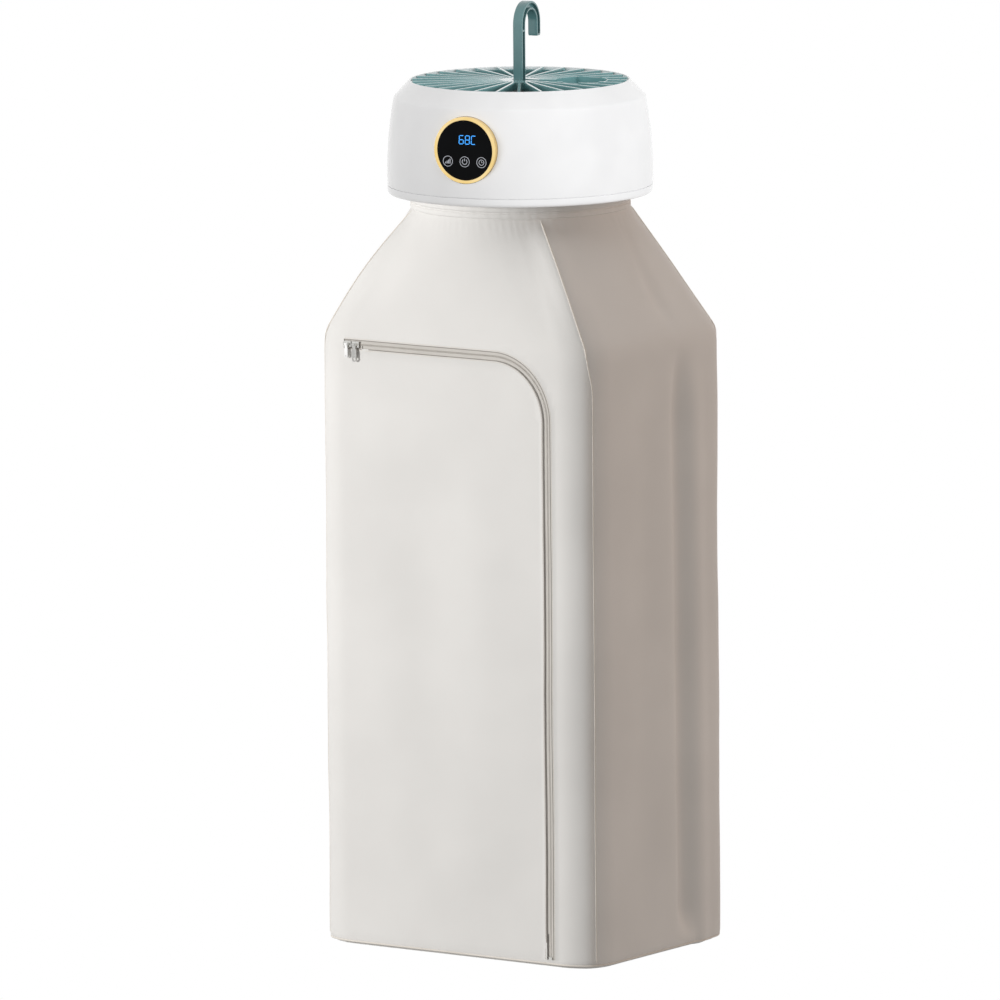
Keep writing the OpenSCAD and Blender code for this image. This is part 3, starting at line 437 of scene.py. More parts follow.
def housing_base():
    top = split_depth + parting_gap / 2
    side = wall_radius(head_depth - base_round)
    plug_r = wall_radius(split_depth) - parting_inset
    inner_r, inner_floor = wall_radius(split_depth) - shell_t, -head_depth + shell_t
    duct_in = duct_r - 3
    shell = lathe("housing_base", rounded([
        (plug_r, -split_depth, 0), (plug_r, -top, 0.2), (wall_radius(top), -top, 0.6),
        (side, -head_depth, base_round), (duct_in, -head_depth, 0.6), (duct_in, inner_floor, 0.3),
        (side - shell_t, inner_floor, base_round - shell_t),
        (inner_r - 0.3, -split_depth + plug_rise, 0.3), (inner_r - 2, -split_depth + plug_rise, 0.3),
        (inner_r - 2, -split_depth, 0)], 8))
    recesses = [disc("recess", screw_head_r, -head_depth - 1, screw_head_h - head_depth,
                     (boss_at * math.cos(a), boss_at * math.sin(a)), 32) for a in turns(boss_count)]
    return combine(shell, recesses, "DIFFERENCE")


dress(housing_top(), head_place, gloss_abs, "head", "white_shell", "upper_housing")
dress(housing_base(), head_place, gloss_abs, "head", "white_shell", "base_shell")

# ---- Display ----
# A gilded ABS ring round a black window, with a lit readout and three touch keys behind it.
# The window lies a little below the ring; the digits shine through its face, and the print glows faintly on
# it with painted light.
glass_r, glass_t, glass_step, glass_dome = 41.5, 3, 0.6, 0.25
glass_face = display_face - glass_step
seat_width = 3
ink_low, ink_high = glass_face - 0.3, glass_face + 0.06
digit_w, digit_h, digit_pitch, digit_bar = 6.3, 11.6, 9.2, 1.05
digits_at = (4.4, 14.8)
digit_lean, bar_gap = 0.06, 0.25
segment_ends = {"top": ((0, 2), (1, 2)), "middle": ((0, 1), (1, 1)), "bottom": ((0, 0), (1, 0)),
                "high_left": ((0, 1), (0, 2)), "high_right": ((1, 1), (1, 2)),
                "low_left": ((0, 0), (0, 1)), "low_right": ((1, 0), (1, 1))}
segments_lit = [("top", "middle", "bottom", "high_left", "low_left", "low_right"),
                ("top", "middle", "bottom", "high_left", "high_right", "low_left", "low_right"),
                ("top", "bottom", "high_left", "low_left")]
key_r, key_pitch, key_low, key_line = 7.1, 25.5, -15.8, 0.75
heat_steps, heat_pitch, heat_line, heat_foot = (2.2, 3.6, 5.2, 6.6), 2.2, 1.3, 3.2
power_r, power_line, power_from, power_to = 3.6, 0.95, 0.8, 4.6
dial_r, dial_line, hand_up, hand_across = 3.7, 0.8, 2.4, 1.9
metal = {"Metallic": 1.0}

# Vacuum-plated gold on moulded ABS: a warm mirror with a soft roll at its edge.
gold_plate = finish_of("vacuum_plated_gold", "#F4D48C", "#FBE0A4", 30, 3, 0.13, 0.03, 0.01, metal)
# Tinted acrylic window: near black, with one clear reflection.
black_acrylic = finish_of("tinted_black_acrylic", "#060708", "#090A0C", 25, 2, 0.05, 0.015, 0.002,
                          {"IOR": 1.3, "Specular IOR Level": 0.12})


def lit(name, code, strength, rough):
    """A flat print that glows with its own colour: lamp light for the LEDs, painted light for the keys' ink.
    """
    return finish_of(name, code, code, 10, 1, rough, 0.02, 0.002,
                     {"Emission Color": colour(code), "Emission Strength": strength})


# Light from LEDs under the window: an even blue.
led_blue = lit("led_lit_blue_segment", "#3F9CF0", 0.85, 0.4)
# Screen-printed touch keys: a flat pale grey ink, with a faint glow that is painted light.
key_ink_painted_glow = lit("screen_printed_grey_ink_painted_glow", "#AEB1B8", 0.2, 0.5)


def display_ring():
    seat, back = display_face - glass_t - glass_step, display_face - bezel_len
    return lathe("display_ring", rounded([
        (bezel_r, back, 0.3), (bezel_r, display_face, 2.2), (glass_r + 0.9, display_face, 1.6),
        (glass_r + 0.1, glass_face - 0.4, 0.4), (glass_r + 0.1, seat, 0),
        (glass_r - seat_width, seat, 0.2), (glass_r - seat_width, back, 0)]), 160)


def display_window():
    face = [(glass_r * k / 8, glass_face - glass_dome * (k / 8) ** 2, 0) for k in range(8)]
    return lathe("display_window", rounded([
        *face, (glass_r, glass_face - glass_dome, 0.35), (glass_r, glass_face - glass_t, 0.2),
        (0, glass_face - glass_t, 0)]), 128)


def ways_along(line, loop=False):
    """The direction of a line at each of its points."""
    ways = []
    for i, here in enumerate(line):
        before = line[i - 1] if i or loop else here
        after = line[(i + 1) % len(line)] if i < len(line) - 1 or loop else here
        ways.append((after - before).normalized())
    return ways


def across_of(along, width):
    """Half a width, square to a direction."""
    return Vector((-along.y, along.x)) * width / 2


def stroke(name, points, width, loop=False):
    """A thin flat line of ink through points on the window, ending square."""
    line = [Vector(p) for p in points]
    rings = []
    for here, along in zip(line, ways_along(line, loop)):
        left, right = here + across_of(along, width), here - across_of(along, width)
        rings.append([(*left, ink_low), (*right, ink_low), (*right, ink_high), (*left, ink_high)])
    return tube(name, rings, loop)


def arc(centre, radius, start, end, steps=24):
    """Points along part of a circle, with its angles in degrees."""
    angles = [math.radians(start + (end - start) * i / steps) for i in range(steps + 1)]
    return [(centre[0] + radius * math.cos(a), centre[1] + radius * math.sin(a)) for a in angles]


def display_digits():
    """The readout's three figures, each of up to seven bars with pointed ends."""
    bars = []
    for place, names in enumerate(segments_lit):
        left = digits_at[0] - digit_pitch - digit_w / 2 + place * digit_pitch
        for name in names:
            start, end = [Vector((left + x * digit_w, digits_at[1] + (y - 1) * digit_h / 2))
                          for x, y in segment_ends[name]]
            along = (end - start).normalized()
            across = across_of(along, digit_bar)
            start, end = start + along * bar_gap, end - along * bar_gap
            tip = along * digit_bar / 2
            outline = [start, start + tip + across, end - tip + across,
                       end, end - tip - across, start + tip - across]
            outline = [(p.x + (p.y - digits_at[1]) * digit_lean, p.y) for p in outline]
            bars.append(prism("bar", outline, ink_low, ink_high))
    return join("display_digits", bars)


def touch_keys():
    """Three ringed keys: heat steps, power and timer."""
    marks = [stroke("ring", arc((place * key_pitch, key_low), key_r, 0, 352.5, 47), key_line, True)
             for place in (-1, 0, 1)]
    for i, height in enumerate(heat_steps):
        x, foot = -key_pitch - 1.5 * heat_pitch + heat_pitch * i, key_low - heat_foot
        marks.append(stroke("step", [(x, foot), (x, foot + height)], heat_line))
    hands = [(key_pitch, key_low + hand_up), (key_pitch, key_low), (key_pitch + hand_across, key_low)]
    marks += [stroke("power", arc((0, key_low), power_r, 125, 415, 30), power_line),
              stroke("power_bar", [(0, key_low + power_from), (0, key_low + power_to)], power_line),
              stroke("dial", arc((key_pitch, key_low), dial_r, 0, 345, 30), dial_line, True),
              stroke("hands", hands, dial_line)]
    return join("touch_keys", marks)


dress(display_ring(), display_place, gold_plate, "head", "gold_ring", "display_bezel")
dress(display_window(), display_place, black_acrylic, "head", "display_black", "display_glass")
dress(display_digits(), display_place, led_blue, "head", "display_black")
dress(touch_keys(), display_place, key_ink_painted_glow, "head", "display_black")

# ---- Intake: grille, guard and filter ----
# The grille is one teal ABS moulding: thirty thin ribs from a flat hub to a ring that hides in the rim.
# A tray moulded into it takes the folded hook, and a slatted guard under it holds the dust filter.
rib_count, rib_w, rib_first = 30, 4.2, 6
rib_low, rib_end_gap, rib_lap, rib_edge_r, rib_draft = 11, 1.5, 4, 0.55, 0.86
grille_r, ring_w, ring_drop = 151.7, 10, 3
hub_r, hub_drop = 32, 0.4
hook_t, hook_w, seat_r, hook_tip, hook_pivot_depth = 12, 14, 19.5, 19.5, 8
crook_reach = 83.5
pocket_side, pocket_wall, pocket_drop, pocket_floor, pocket_gap = 6.8, 2, 0.8, 15.6, 4
finger_r, finger_y = 22, 8
hook_eye_r, pin_r = 7, 3
cheek_w, cheek_t, cheek_fit = 22, 4, 0.1
screen_mm, screen_height_mm, wave_unit = 3, 0.4, 6.3

# Fine-textured teal ABS: a dusty blue-green whose edges catch the light.
teal_abs = finish_of("satin_moulded_teal_abs", "#4F7678", "#588082", 60, 1.2, 0.34, 0.05, 0.03,
                     {"IOR": 1.53, "Coat Weight": 0.7, "Coat Roughness": 0.16})
# Polished teal ABS with a smoother skin, whose rib tops mirror the light; its teal is painted paler than the
# hook's, a painted highlight for the pale rib tops.
grille_abs_painted_pale = finish_of("polished_teal_abs_painted_pale", "#77A4A6", "#80ADAF", 60, 2, 0.22, 0.03, 0.008,
                       {"IOR": 1.53, "Coat Weight": 1.0, "Coat Roughness": 0.07})
# Matt polypropylene, moulded: its darker teal is painted shade, for the guard that lies in the shade of the
# ribs.
teal_core_painted_shade = finish_of("moulded_teal_pp_painted_shade", "#2E4C4E", "#365658", 40, 1.5, 0.45, 0.06, 0.03)


def new_tree(name, inputs, output):
    """A Geometry Nodes tree with these named inputs, and their sockets inside it."""
    tree = bpy.data.node_groups.new(name, "GeometryNodeTree")
    for label, kind in inputs.items():
        tree.interface.new_socket(label, in_out="INPUT", socket_type="NodeSocket" + kind)
    tree.interface.new_socket(output, in_out="OUTPUT", socket_type="NodeSocketGeometry")
    return tree, add(tree, "NodeGroupInput").outputs


def end_tree(tree, copies, material):
    """Makes the copies real, gives them their material and sends them out."""
    real = add(tree, "GeometryNodeRealizeInstances", {"Geometry": copies})
    painted = add(tree, "GeometryNodeSetMaterial", {"Geometry": real, "Material": material})
    add(tree, "NodeGroupOutput", {0: painted})
    return tree


def run_tree(piece, tree, values):
    """Runs a Geometry Nodes tree on the piece with these input values, and keeps the plain mesh."""
    step = piece.modifiers.new(tree.name, "NODES")
    step.node_group = tree
    for item in tree.interface.items_tree:
        if item.in_out == "INPUT" and item.name in values:
            step[item.identifier] = values[item.name]
    return bake(piece)


def make_turned_copies():
    """A tree that sets copies of its piece round the Z axis."""
    tree, given = new_tree("turned_copies", {"Piece": "Geometry", "Count": "Int", "First angle": "Float",
                                             "Material": "Material"}, "Copies")
    spots = add(tree, "GeometryNodePoints", {"Count": given["Count"]})
    step = add(tree, "ShaderNodeMath", {0: 2 * math.pi, 1: given["Count"]}, operation="DIVIDE")
    turn = add(tree, "ShaderNodeMath", {0: add(tree, "GeometryNodeInputIndex"), 1: step,
                                        2: given["First angle"]}, operation="MULTIPLY_ADD")
    angle = add(tree, "ShaderNodeCombineXYZ", {"Z": turn})
    copies = add(tree, "GeometryNodeInstanceOnPoints", {"Points": spots, "Instance": given["Piece"],
                                                        "Rotation": angle})
    return end_tree(tree, copies, given["Material"])


def rib():
    """A straight rib along X with its two upper edges rounded."""
    half = rib_w / 2
    section = rounded([(-half, -rib_low, 0), (half, -rib_low, 0), (half * rib_draft, 0, rib_edge_r),
                       (-half * rib_draft, 0, rib_edge_r)], 3)
    raised = prism("rib", section, hub_r - rib_lap, grille_r - rib_end_gap)
    along_x = Matrix(((0, 0, 1, 0), (1, 0, 0, 0), (0, 1, 0, 0), (0, 0, 0, 1)))
    raised.data.transform(along_x)
    return raised


def pocket_solids(grow, low, high):
    """The solids that together fill the plan of the hook's tray, grown by its wall."""
    bend_y = seat_r + hook_t / 2
    side, spare = pocket_side + grow, pocket_gap + grow
    mouth_x, mouth_end = crook_reach - pocket_gap, crook_reach + 1
    return [block("channel", (-hook_eye_r - 2 - grow, -side, low), (crook_reach, side, high)),
            disc("bend", seat_r + hook_t + spare, low, high, (crook_reach, bend_y), 96),
            block("tip", (crook_reach - hook_tip - spare, bend_y + seat_r - spare, low + 0.01),
                  (crook_reach, bend_y + seat_r + hook_t + spare, high - 0.01)),
            block("mouth", (mouth_x, -side, low + 0.02), (mouth_end, side, high - 0.02)),
            disc("finger", finger_r + grow, low + 0.03, high - 0.03, (mouth_end, finger_y), 72)]


def merged(solids):
    return combine(solids[0], solids[1:], "UNION")


def at_pivot(piece):
    """Lays a turned piece across the hook's pivot."""
    piece.data.transform(Matrix.Translation((0, 0, -hook_pivot_depth)) @ upright)
    return piece


def intake():
    ribs = run_tree(rib(), make_turned_copies(), {"Count": rib_count, "First angle": math.radians(rib_first),
                                                  "Material": grille_abs_painted_pale})
    ring_in = grille_r - ring_w
    ring = lathe("grille", rounded([(grille_r, -grille_t, 0.4), (grille_r, -ring_drop, 0.6),
                                    (ring_in, -ring_drop, 0.6), (ring_in, -grille_t, 0.4)]))
    hub = lathe("hub", rounded([(0, -grille_t, 0), (hub_r, -grille_t, 0.5), (hub_r, -hub_drop, 1.0),
                                (0, -hub_drop - 0.01, 0)]), 96)
    tray = merged(pocket_solids(pocket_wall, -pocket_floor - pocket_wall, -pocket_drop))
    cutters = [merged(pocket_solids(0, -pocket_floor, 5))]
    half_w, half_t = cheek_w / 2 + cheek_fit, cheek_t / 2 + cheek_fit
    for side in (-1, 1):
        middle = side * (pocket_side + pocket_wall + half_t)
        cutters.append(block("slot", (-half_w, middle - half_t, -grille_t - 1),
                             (half_w, middle + half_t, -2)))
    cutters.append(at_pivot(disc("bore", pin_r + 0.1, -20, 20)))
    return combine(join("grille", [ring, hub, ribs, tray]), cutters, "DIFFERENCE", overlapping=True)


def paint(material, *nodes):
    """Gives CAD nodes their finish."""
    for name in nodes:
        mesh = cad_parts[name].data
        mesh.materials.clear()
        mesh.materials.append(material)


def make_filter_mesh():
    """Woven nylon screen: grey threads with the gaps between them painted dark as shade, drawn coarser than
    the real 0.8 mm to show.
    """
    made = finish_of("woven_nylon_screen", "#3A4042", "#454B4D", 20, 0.8, 0.7, 0.08, 0.02)
    tree = made.node_tree
    place = add(tree, "ShaderNodeTexCoord").outputs["Object"]
    threads = [add(tree, "ShaderNodeTexWave", {"Vector": place, "Scale": 1000 / screen_mm / wave_unit},
                   bands_direction=axis).outputs["Fac"] for axis in ("X", "Y")]
    woven = add(tree, "ShaderNodeMath", {0: threads[0], 1: threads[1]}, operation="MAXIMUM")
    # The gaps between the threads are painted dark: painted shade where the screen's holes would be.
    ramp = add(tree, "ShaderNodeValToRGB", {"Fac": woven})
    set_ramp(ramp, (0.45, "#0E1011"), (0.6, "#4C5355"))
    bump = add(tree, "ShaderNodeBump", {"Height": woven, "Distance": screen_height_mm * MM})
    fill(tree.nodes["Principled BSDF"], {"Base Color": ramp, "Normal": bump})
    return made


dress(intake(), head_place, grille_abs_painted_pale, "head", "teal_plastic", "intake_grille", crease=28)
paint(teal_core_painted_shade, "intake_guard")
paint(make_filter_mesh(), "dust_filter")

# ---- Hook ----
# A teal ABS hook of channel section: two flanges and a web, with one cross rib under the bend.
# It folds about a steel pin into the grille's tray, between the two cheeks of a steel anchor strap.
hook_rise, hook_flange, hook_web = 107, 2.8, 4
hook_rib_drop, hook_edge_r, hook_taper, hook_bevel = 9, 1.2, 0.93, 0.45
stem_top = hook_rise - seat_r - hook_t
bend_r = seat_r + hook_t / 2
stem_steps, bend_steps, tip_steps = 27, 28, 6
rising, falling = Vector((0, 1)), Vector((0, -1))

# Zinc-plated steel: pale grey with a broken, slightly milky shine.
zinc_steel = finish_of("zinc_plated_steel", "#9DA1A4", "#B4B7B8", 14, 2.5, 0.33, 0.08, 0.01, metal)


def hook_line():
    """Points along the middle of the hook, with their directions, from the pivot to the tip."""
    rise = stem_top + hook_pivot_depth
    line = [(Vector((0, -hook_pivot_depth + rise * k / stem_steps)), rising) for k in range(stem_steps + 1)]
    for k in range(1, bend_steps + 1):
        a = math.pi * (1 - k / bend_steps)
        line.append((Vector((bend_r + bend_r * math.cos(a), stem_top + bend_r * math.sin(a))),
                     Vector((math.sin(a), -math.cos(a)))))
    return line + [(Vector((2 * bend_r, stem_top - hook_tip * k / tip_steps)), falling)
                   for k in range(1, tip_steps + 1)]


def sweep(name, line, section, tip=1):
    """Sweeps a section of (across the hook, in the plane of its bend) along the line."""
    scales = [1] * (len(line) - 1) + [tip]
    return tube(name, [[(across * scale, at.x + along.y * inward * scale, at.y - along.x * inward * scale)
                        for across, inward in section] for (at, along), scale in zip(line, scales)])


def soften(piece, width, angle=30):
    """Rounds the piece's edges that turn by more than this angle."""
    step = piece.modifiers.new("edges", "BEVEL")
    step.width, step.segments = width, 2
    step.limit_method, step.angle_limit = "ANGLE", math.radians(angle)
    return bake(piece)


def hook_piece():
    line = hook_line()
    half_w, half_t = hook_w / 2, hook_t / 2
    box = rounded([(-half_w, -half_t, hook_edge_r), (half_w, -half_t, hook_edge_r),
                   (half_w, half_t, hook_edge_r), (-half_w, half_t, hook_edge_r)], 4)
    hook = sweep("hook_arm", line, box, hook_taper)
    eye = lathe("eye", rounded([(0, -half_t, 0), (hook_eye_r, -half_t, 1), (hook_eye_r, half_t, 1),
                                (0, half_t, 0)]), 64)
    bore = disc("bore", pin_r + 0.05, -20, 20, steps=48)
    combine(hook, [at_pivot(eye)], "UNION")
    rib_under = stem_top - hook_rib_drop
    rib_top = rib_under + hook_flange
    end_y = stem_top - hook_tip + hook_flange
    stem = [(Vector((0, hook_eye_r - hook_pivot_depth)), rising), (Vector((0, rib_under)), rising)]
    crook = [(at, along) for at, along in line if (at.x > 0 or at.y > rib_top)
             and not (at.x > 2 * bend_r - 0.01 and at.y < end_y + 1)]
    spans = [stem, [(Vector((0, rib_top)), rising), *crook, (Vector((2 * bend_r, end_y)), falling)]]
    half = half_t - hook_flange
    cutters = [at_pivot(bore)]
    for side in (-1, 1):
        low, high = sorted((side * hook_web / 2, side * (half_w + 2)))
        cutters += [sweep("recess", span, [(low, -half), (high, -half), (high, half), (low, half)])
                    for span in spans]
    return soften(combine(hook, cutters, "DIFFERENCE"), hook_bevel, 40)


dress(hook_piece(), head_place, teal_abs, "hook", "teal_plastic", "hook")
paint(zinc_steel, "hook_anchor", "hook_pin")

# ---- Air path and electrics inside the head ----
# A motor on a pressed bracket turns a nine-blade fan, which blows through a ceramic heater in a mica frame.
# The boards, thermal cutout and mains lead sit round the duct, and only service shows them.

# Moulded polypropylene duct: plain light grey, a little waxy.
paint(finish_of("moulded_grey_polypropylene", "#C6C9CB", "#D0D2D3", 50, 2, 0.42, 0.06, 0.02),
      "fan_shroud", "impeller")
paint(zinc_steel, "motor_bracket", "thermostat")
# Painted motor can: black, slightly pebbled.
paint(finish_of("painted_black_steel", "#1F2022", "#2A2B2D", 20, 1.0, 0.4, 0.08, 0.03), "motor")
# Blackened screw steel: dark, with worn bright edges.
paint(finish_of("blackened_screw_steel", "#3A3B3D", "#515254", 8, 1.5, 0.42, 0.08, 0.01, metal),
      "motor_screws", "neck_screws", "base_screws")
# Turned steel shaft: bright, with fine rings.
paint(finish_of("turned_bright_steel", "#C2C4C6", "#CFD0D1", 6, 0.6, 0.2, 0.05, 0.005, metal), "motor_shaft")
# Pressed mica sheet: flecked straw colour.
paint(finish_of("pressed_mica_sheet", "#B7A577", "#D3C594", 4, 0.8, 0.5, 0.12, 0.02), "heater_frame")
# Fired ceramic heating bars: dense and matt.
paint(finish_of("fired_dark_ceramic", "#3B3835", "#47433F", 12, 0.7, 0.72, 0.06, 0.02), "heater_bars")
# Folded aluminium fins: thin and satin.
paint(finish_of("folded_satin_aluminium", "#BFC1C3", "#D2D4D5", 5, 0.8, 0.35, 0.07, 0.01, metal),
      "heater_fins")
# Glass-epoxy board under green solder mask: glossy green.
paint(finish_of("solder_masked_glass_epoxy", "#1C5A34", "#226A3E", 9, 1.1, 0.28, 0.06, 0.01),
      "control_board", "display_board")
# PVC sheath: black with a soft shine.
paint(finish_of("extruded_black_pvc", "#151517", "#1D1D1F", 20, 1.5, 0.42, 0.06, 0.01), "mains_loom")
# Nickel-plated brass pins: a pale, warm shine.
paint(finish_of("nickel_plated_brass", "#C9B98A", "#D6C79A", 6, 1, 0.24, 0.05, 0.005, metal), "inlet_pins")
# Moulded black PBT socket: nearly matt.
paint(finish_of("moulded_black_pbt", "#18191B", "#222325", 20, 1.2, 0.48, 0.06, 0.02), "mains_inlet")
# White ABS of the unseen grilles and collar: the same moulding as the shells, less polished.
paint(finish_of("satin_moulded_white_abs", "#E9E9EA", "#F0F0F1", 70, 2, 0.36, 0.05, 0.02, {"IOR": 1.53}),
      "outlet_grille", "neck_collar", "arm_brackets")

# ---- Frame that spreads the bag ----
# Four folding arms of aluminium tube push rubber shoes into the bag's corners, under the shoulder wire.
# A garment rod with places for five hangers runs across, and wires hold the shoulder and the base.
corners = ("front_left", "front_right", "rear_left", "rear_right")

# Anodised drawn tube: satin silver with fine lines along it.
paint(finish_of("anodised_drawn_aluminium", "#B9BCBE", "#C9CBCC", 25, 1.2, 0.3, 0.07, 0.008, metal,
                stretch=(1, 1, 0.2)), "garment_rod", *["arm_" + c for c in corners])
# Moulded black rubber shoes and caps: matt, slightly chalky.
paint(finish_of("moulded_black_rubber", "#242426", "#303032", 18, 0.9, 0.75, 0.08, 0.03),
      "rod_caps", *["shoe_" + c for c in corners])
# Zinc-dipped spring wire: a dull grey shine.
paint(finish_of("zinc_dipped_spring_wire", "#8E9295", "#A5A8AA", 12, 1, 0.38, 0.08, 0.01, metal),
      "shoulder_wire", "base_wire")
paint(zinc_steel, "rod_brackets", "arm_pins")

# ---- Bag: one sewn shell ----
# Coated polyester cloth runs from the neckband to the floor in one shell, gathered under the head.
# It hangs by its own weight, with the shoulder wire and the base wire holding its corners out.
bag_w, bag_d, corner_r = 472, 352, 55
neck_r, neck_depth = 152, 177.7
shoulder_end, wall_end, base_depth = 352, 1206, 1213
cloth_t, corner_tuck, crease_soft, floor_sag = 1.2, 2, 0.06, 3
band_t, piping_r, hem_r, seam_r = 0.8, 1.1, 1.3, 0.8
seam_drifts = (-8, -8, 8, 8)
cord_sides = 8
wire_depths = (356, 1208)
half_flat, side_flat = bag_w / 2 - corner_r, bag_d - 2 * corner_r
corner_arc = corner_r * math.pi / 2
girth = 4 * half_flat + 2 * side_flat + 4 * corner_arc
front_mid = girth / 2
front_top = 340
straight_runs = (half_flat, side_flat, 2 * half_flat, side_flat, half_flat)
plan_runs = [run for length in straight_runs for run in ((length, False), (corner_arc, True))][:-1]
corner_mids = [half_flat + corner_arc / 2, half_flat + 1.5 * corner_arc + side_flat,
               girth - half_flat - 1.5 * corner_arc - side_flat, girth - half_flat - corner_arc / 2]
right_mid = girth - half_flat - corner_arc - side_flat / 2
left_mid = half_flat + corner_arc + side_flat / 2
zip_x, zip_top, zip_bend = 164, 364, 88
zip_start, zip_sewn_end, zip_end = -179, -145, 1204
zip_gap, hem_in, hem_out, hem_lift = 5.5, 9.8, 10.8, 0.5
fold_low, fold_high = Vector((zip_x, zip_end)), Vector((-146, zip_top))
fold_way = (fold_low - fold_high).normalized()
fold_span = (5.86, 880.2)
fill_step_x, fill_step_d, hem_clear, fold_clear = 8.5, 9.5, 3, 3.5
cloth_thread_mm = 0.6
# Painted shade of the weave: how much darker its gaps and lighter its thread tops are.
thread_round, painted_gap_shade, painted_thread_light, weave_strength = 0.35, 0.93, 0.1, 0.8


def headed(angle):
    """The way ahead along the plan at this heading, and the way out of the bag."""
    ahead = Vector((math.cos(angle), math.sin(angle)))
    return ahead, Vector((ahead.y, -ahead.x))


def make_plan():
    """Where each run of the bag's plan starts, and which way it heads."""
    starts, at, place, heading = [], 0.0, Vector((0, bag_d / 2)), math.pi
    for length, curved in plan_runs:
        starts.append((at, place.copy(), heading, curved))
        ahead, out = headed(heading)
        if curved:
            centre = place - corner_r * out
            heading += math.pi / 2
            place = centre + corner_r * headed(heading)[1]
        else:
            place = place + length * ahead
        at += length
    return starts


plan_starts = make_plan()


def wall_plan(q):
    """The place on the bag's plan at q mm along it from the middle of the back, and the way out of it."""
    q = float(q) % girth
    at, place, heading, curved = [run for run in plan_starts if run[0] <= q + 1e-9][-1]
    ahead, out = headed(heading)
    if not curved:
        return place + (q - at) * ahead, out
    centre = place - corner_r * out
    out = headed(heading + (q - at) / corner_r)[1]
    return centre + corner_r * out, out


def smooth(x):
    """An even step from 0 to 1."""
    x = min(max(x, 0.0), 1.0)
    return x * x * (3 - 2 * x)


def fold(q, d, at, lean, width, height, top, bottom):
    """A soft upright fold: a bell across the cloth that fades in below top and out above bottom."""
    away = (q - at - lean * (d - top) / (bottom - top)) / width
    return height * math.exp(-away * away) * smooth((d - top) / 140) * smooth((bottom - d) / 140)


def drape(q, d, place):
    """How far the cloth stands off its plan, in mm: folds, gathers and a slow unevenness."""
    off = 1.5 * noise.noise(place / 190) + 0.5 * noise.noise(place / 70 + Vector((7, 3, 1)))
    # The valley beside the front's right corner, its rim, and the crease of the shoulder above it.
    off += fold(q, d, right_mid + 48, 12, 17, -16.0, 330, 1330)
    off += fold(q, d, right_mid + 82, 10, 18, 5.0, 340, 1330)
    off += fold(q, d, right_mid + 26, 26, 18, -6.0, 170, 440)
    # Shallow folds of the sides, the back and the front.
    off += fold(q, d, right_mid - 34, -16, 34, -4.0, 380, 1250)
    off += fold(q, d, left_mid - 40, 14, 20, -4.0, 340, 1200)
    off += fold(q, d, left_mid + 20, -10, 30, 3.0, 340, 1240)
    off += fold(q, d, 110, 20, 22, -4.5, 330, 1240)
    off += fold(q, d, girth - 90, -24, 26, -4.0, 340, 1200)
    off += fold(q, d, front_mid - 60, 30, 46, -2.2, 480, 1180)
    off += fold(q, d, front_mid + 60, -20, 40, 1.6, 430, 1150)
    # The corners stand out, the front's two more than the back's.
    nearest = min(abs(q - mid) for mid in corner_mids)
    front = smooth((half_flat + 120 - abs(q - front_mid)) / 40)
    ridge = max(0.0, 1 - math.hypot(nearest, 5) / 44) ** 2
    off += (0.4 + 2.8 * front) * ridge * smooth((d - shoulder_end + 60) / 90)
    # The shoulder sags between its ridges, puckers beside them and gathers under the neckband.
    down = (d - neck_depth) / (shoulder_end - neck_depth)
    if down < 1:
        span = math.sin(math.pi * down)
        off -= 3.5 * span * smooth(nearest / 60)
        off += (1.5 + 9.5 * front) * span * max(0.0, 1 - math.hypot(nearest, 3) / 52) ** 2
        pucker = math.sin(nearest / 9 + 4 * down) * math.exp(-nearest / 40)
        off += 1.2 * span * pucker * smooth((nearest - 14) / 14)
        gather = math.sin(q / 2.9 + 3 * noise.noise(Vector((q / 45, 3, 5))))
        off += 0.26 * gather * smooth(1 - (d - neck_depth) / 36) * smooth((d - neck_depth) / 6)
    # The wires hold the cloth out.
    on_wire = max(smooth(1 - (abs(d - wire) - 3) / 45) for wire in wire_depths)
    return off - min(off, 0) * on_wire


def bag_place(q, d, out=0.0):
    """The place on the hung cloth at q along and d down, in mm, moved out by out."""
    q, d = float(q), float(d)
    share = (d - neck_depth) / (shoulder_end - neck_depth)
    if share > 1 - crease_soft:
        bend = (share - 1 + crease_soft) ** 2 / (4 * crease_soft)
        share = 1 if share > 1 + crease_soft else share - bend
    wall, away = wall_plan(q)
    spots = [0, *corner_mids, girth]
    angle = math.radians(float(np.interp(q % girth, spots, [90, 135, 225, 315, 405, 450])))
    round_neck = Vector((math.cos(angle), math.sin(angle)))
    flat = (1 - share) * neck_r * round_neck + share * wall
    away = ((1 - share) * round_neck + share * away).normalized()
    tuck = base_depth - wall_end + corner_tuck * smooth((abs(q % girth - front_mid) - half_flat) / 25)
    into = max(0.0, (d - base_depth + tuck) / tuck)
    turn_in = tuck * (1 - math.sqrt(max(0.0, 1 - into * into)))
    off = drape(q % girth, d, Vector((*flat, -d))) - turn_in + out
    return Vector((*(flat + away * off), -d))


def bag_normal(q, d):
    """The way out of the cloth at q and d."""
    across = bag_place(q + 1, d) - bag_place(q - 1, d)
    down = bag_place(q, min(d + 1, wall_end)) - bag_place(q, min(d, wall_end - 1) - 1)
    return down.cross(across).normalized()


def map_flat(piece, flat):
    """Lays the piece's UV map out flat, in metres, from a place in mm for each corner of its faces."""
    layer = piece.data.uv_layers.new(name="UVMap")
    layer.data.foreach_set("uv", [value * MM for pair in flat for value in pair])
    return piece


def cloth(name, faces, lift):
    """A sheet on the bag's shell from faces of (q, d), mapped by q and d."""
    spots = {}
    shape = [[spots.setdefault((round(q % girth, 3), round(d, 3)), len(spots)) for q, d in face]
             for face in faces]
    piece = new_piece(name, [bag_place(q, d, lift(q, d)) for q, d in spots], shape)
    return map_flat(piece, [(q, -d) for face in faces for q, d in face])


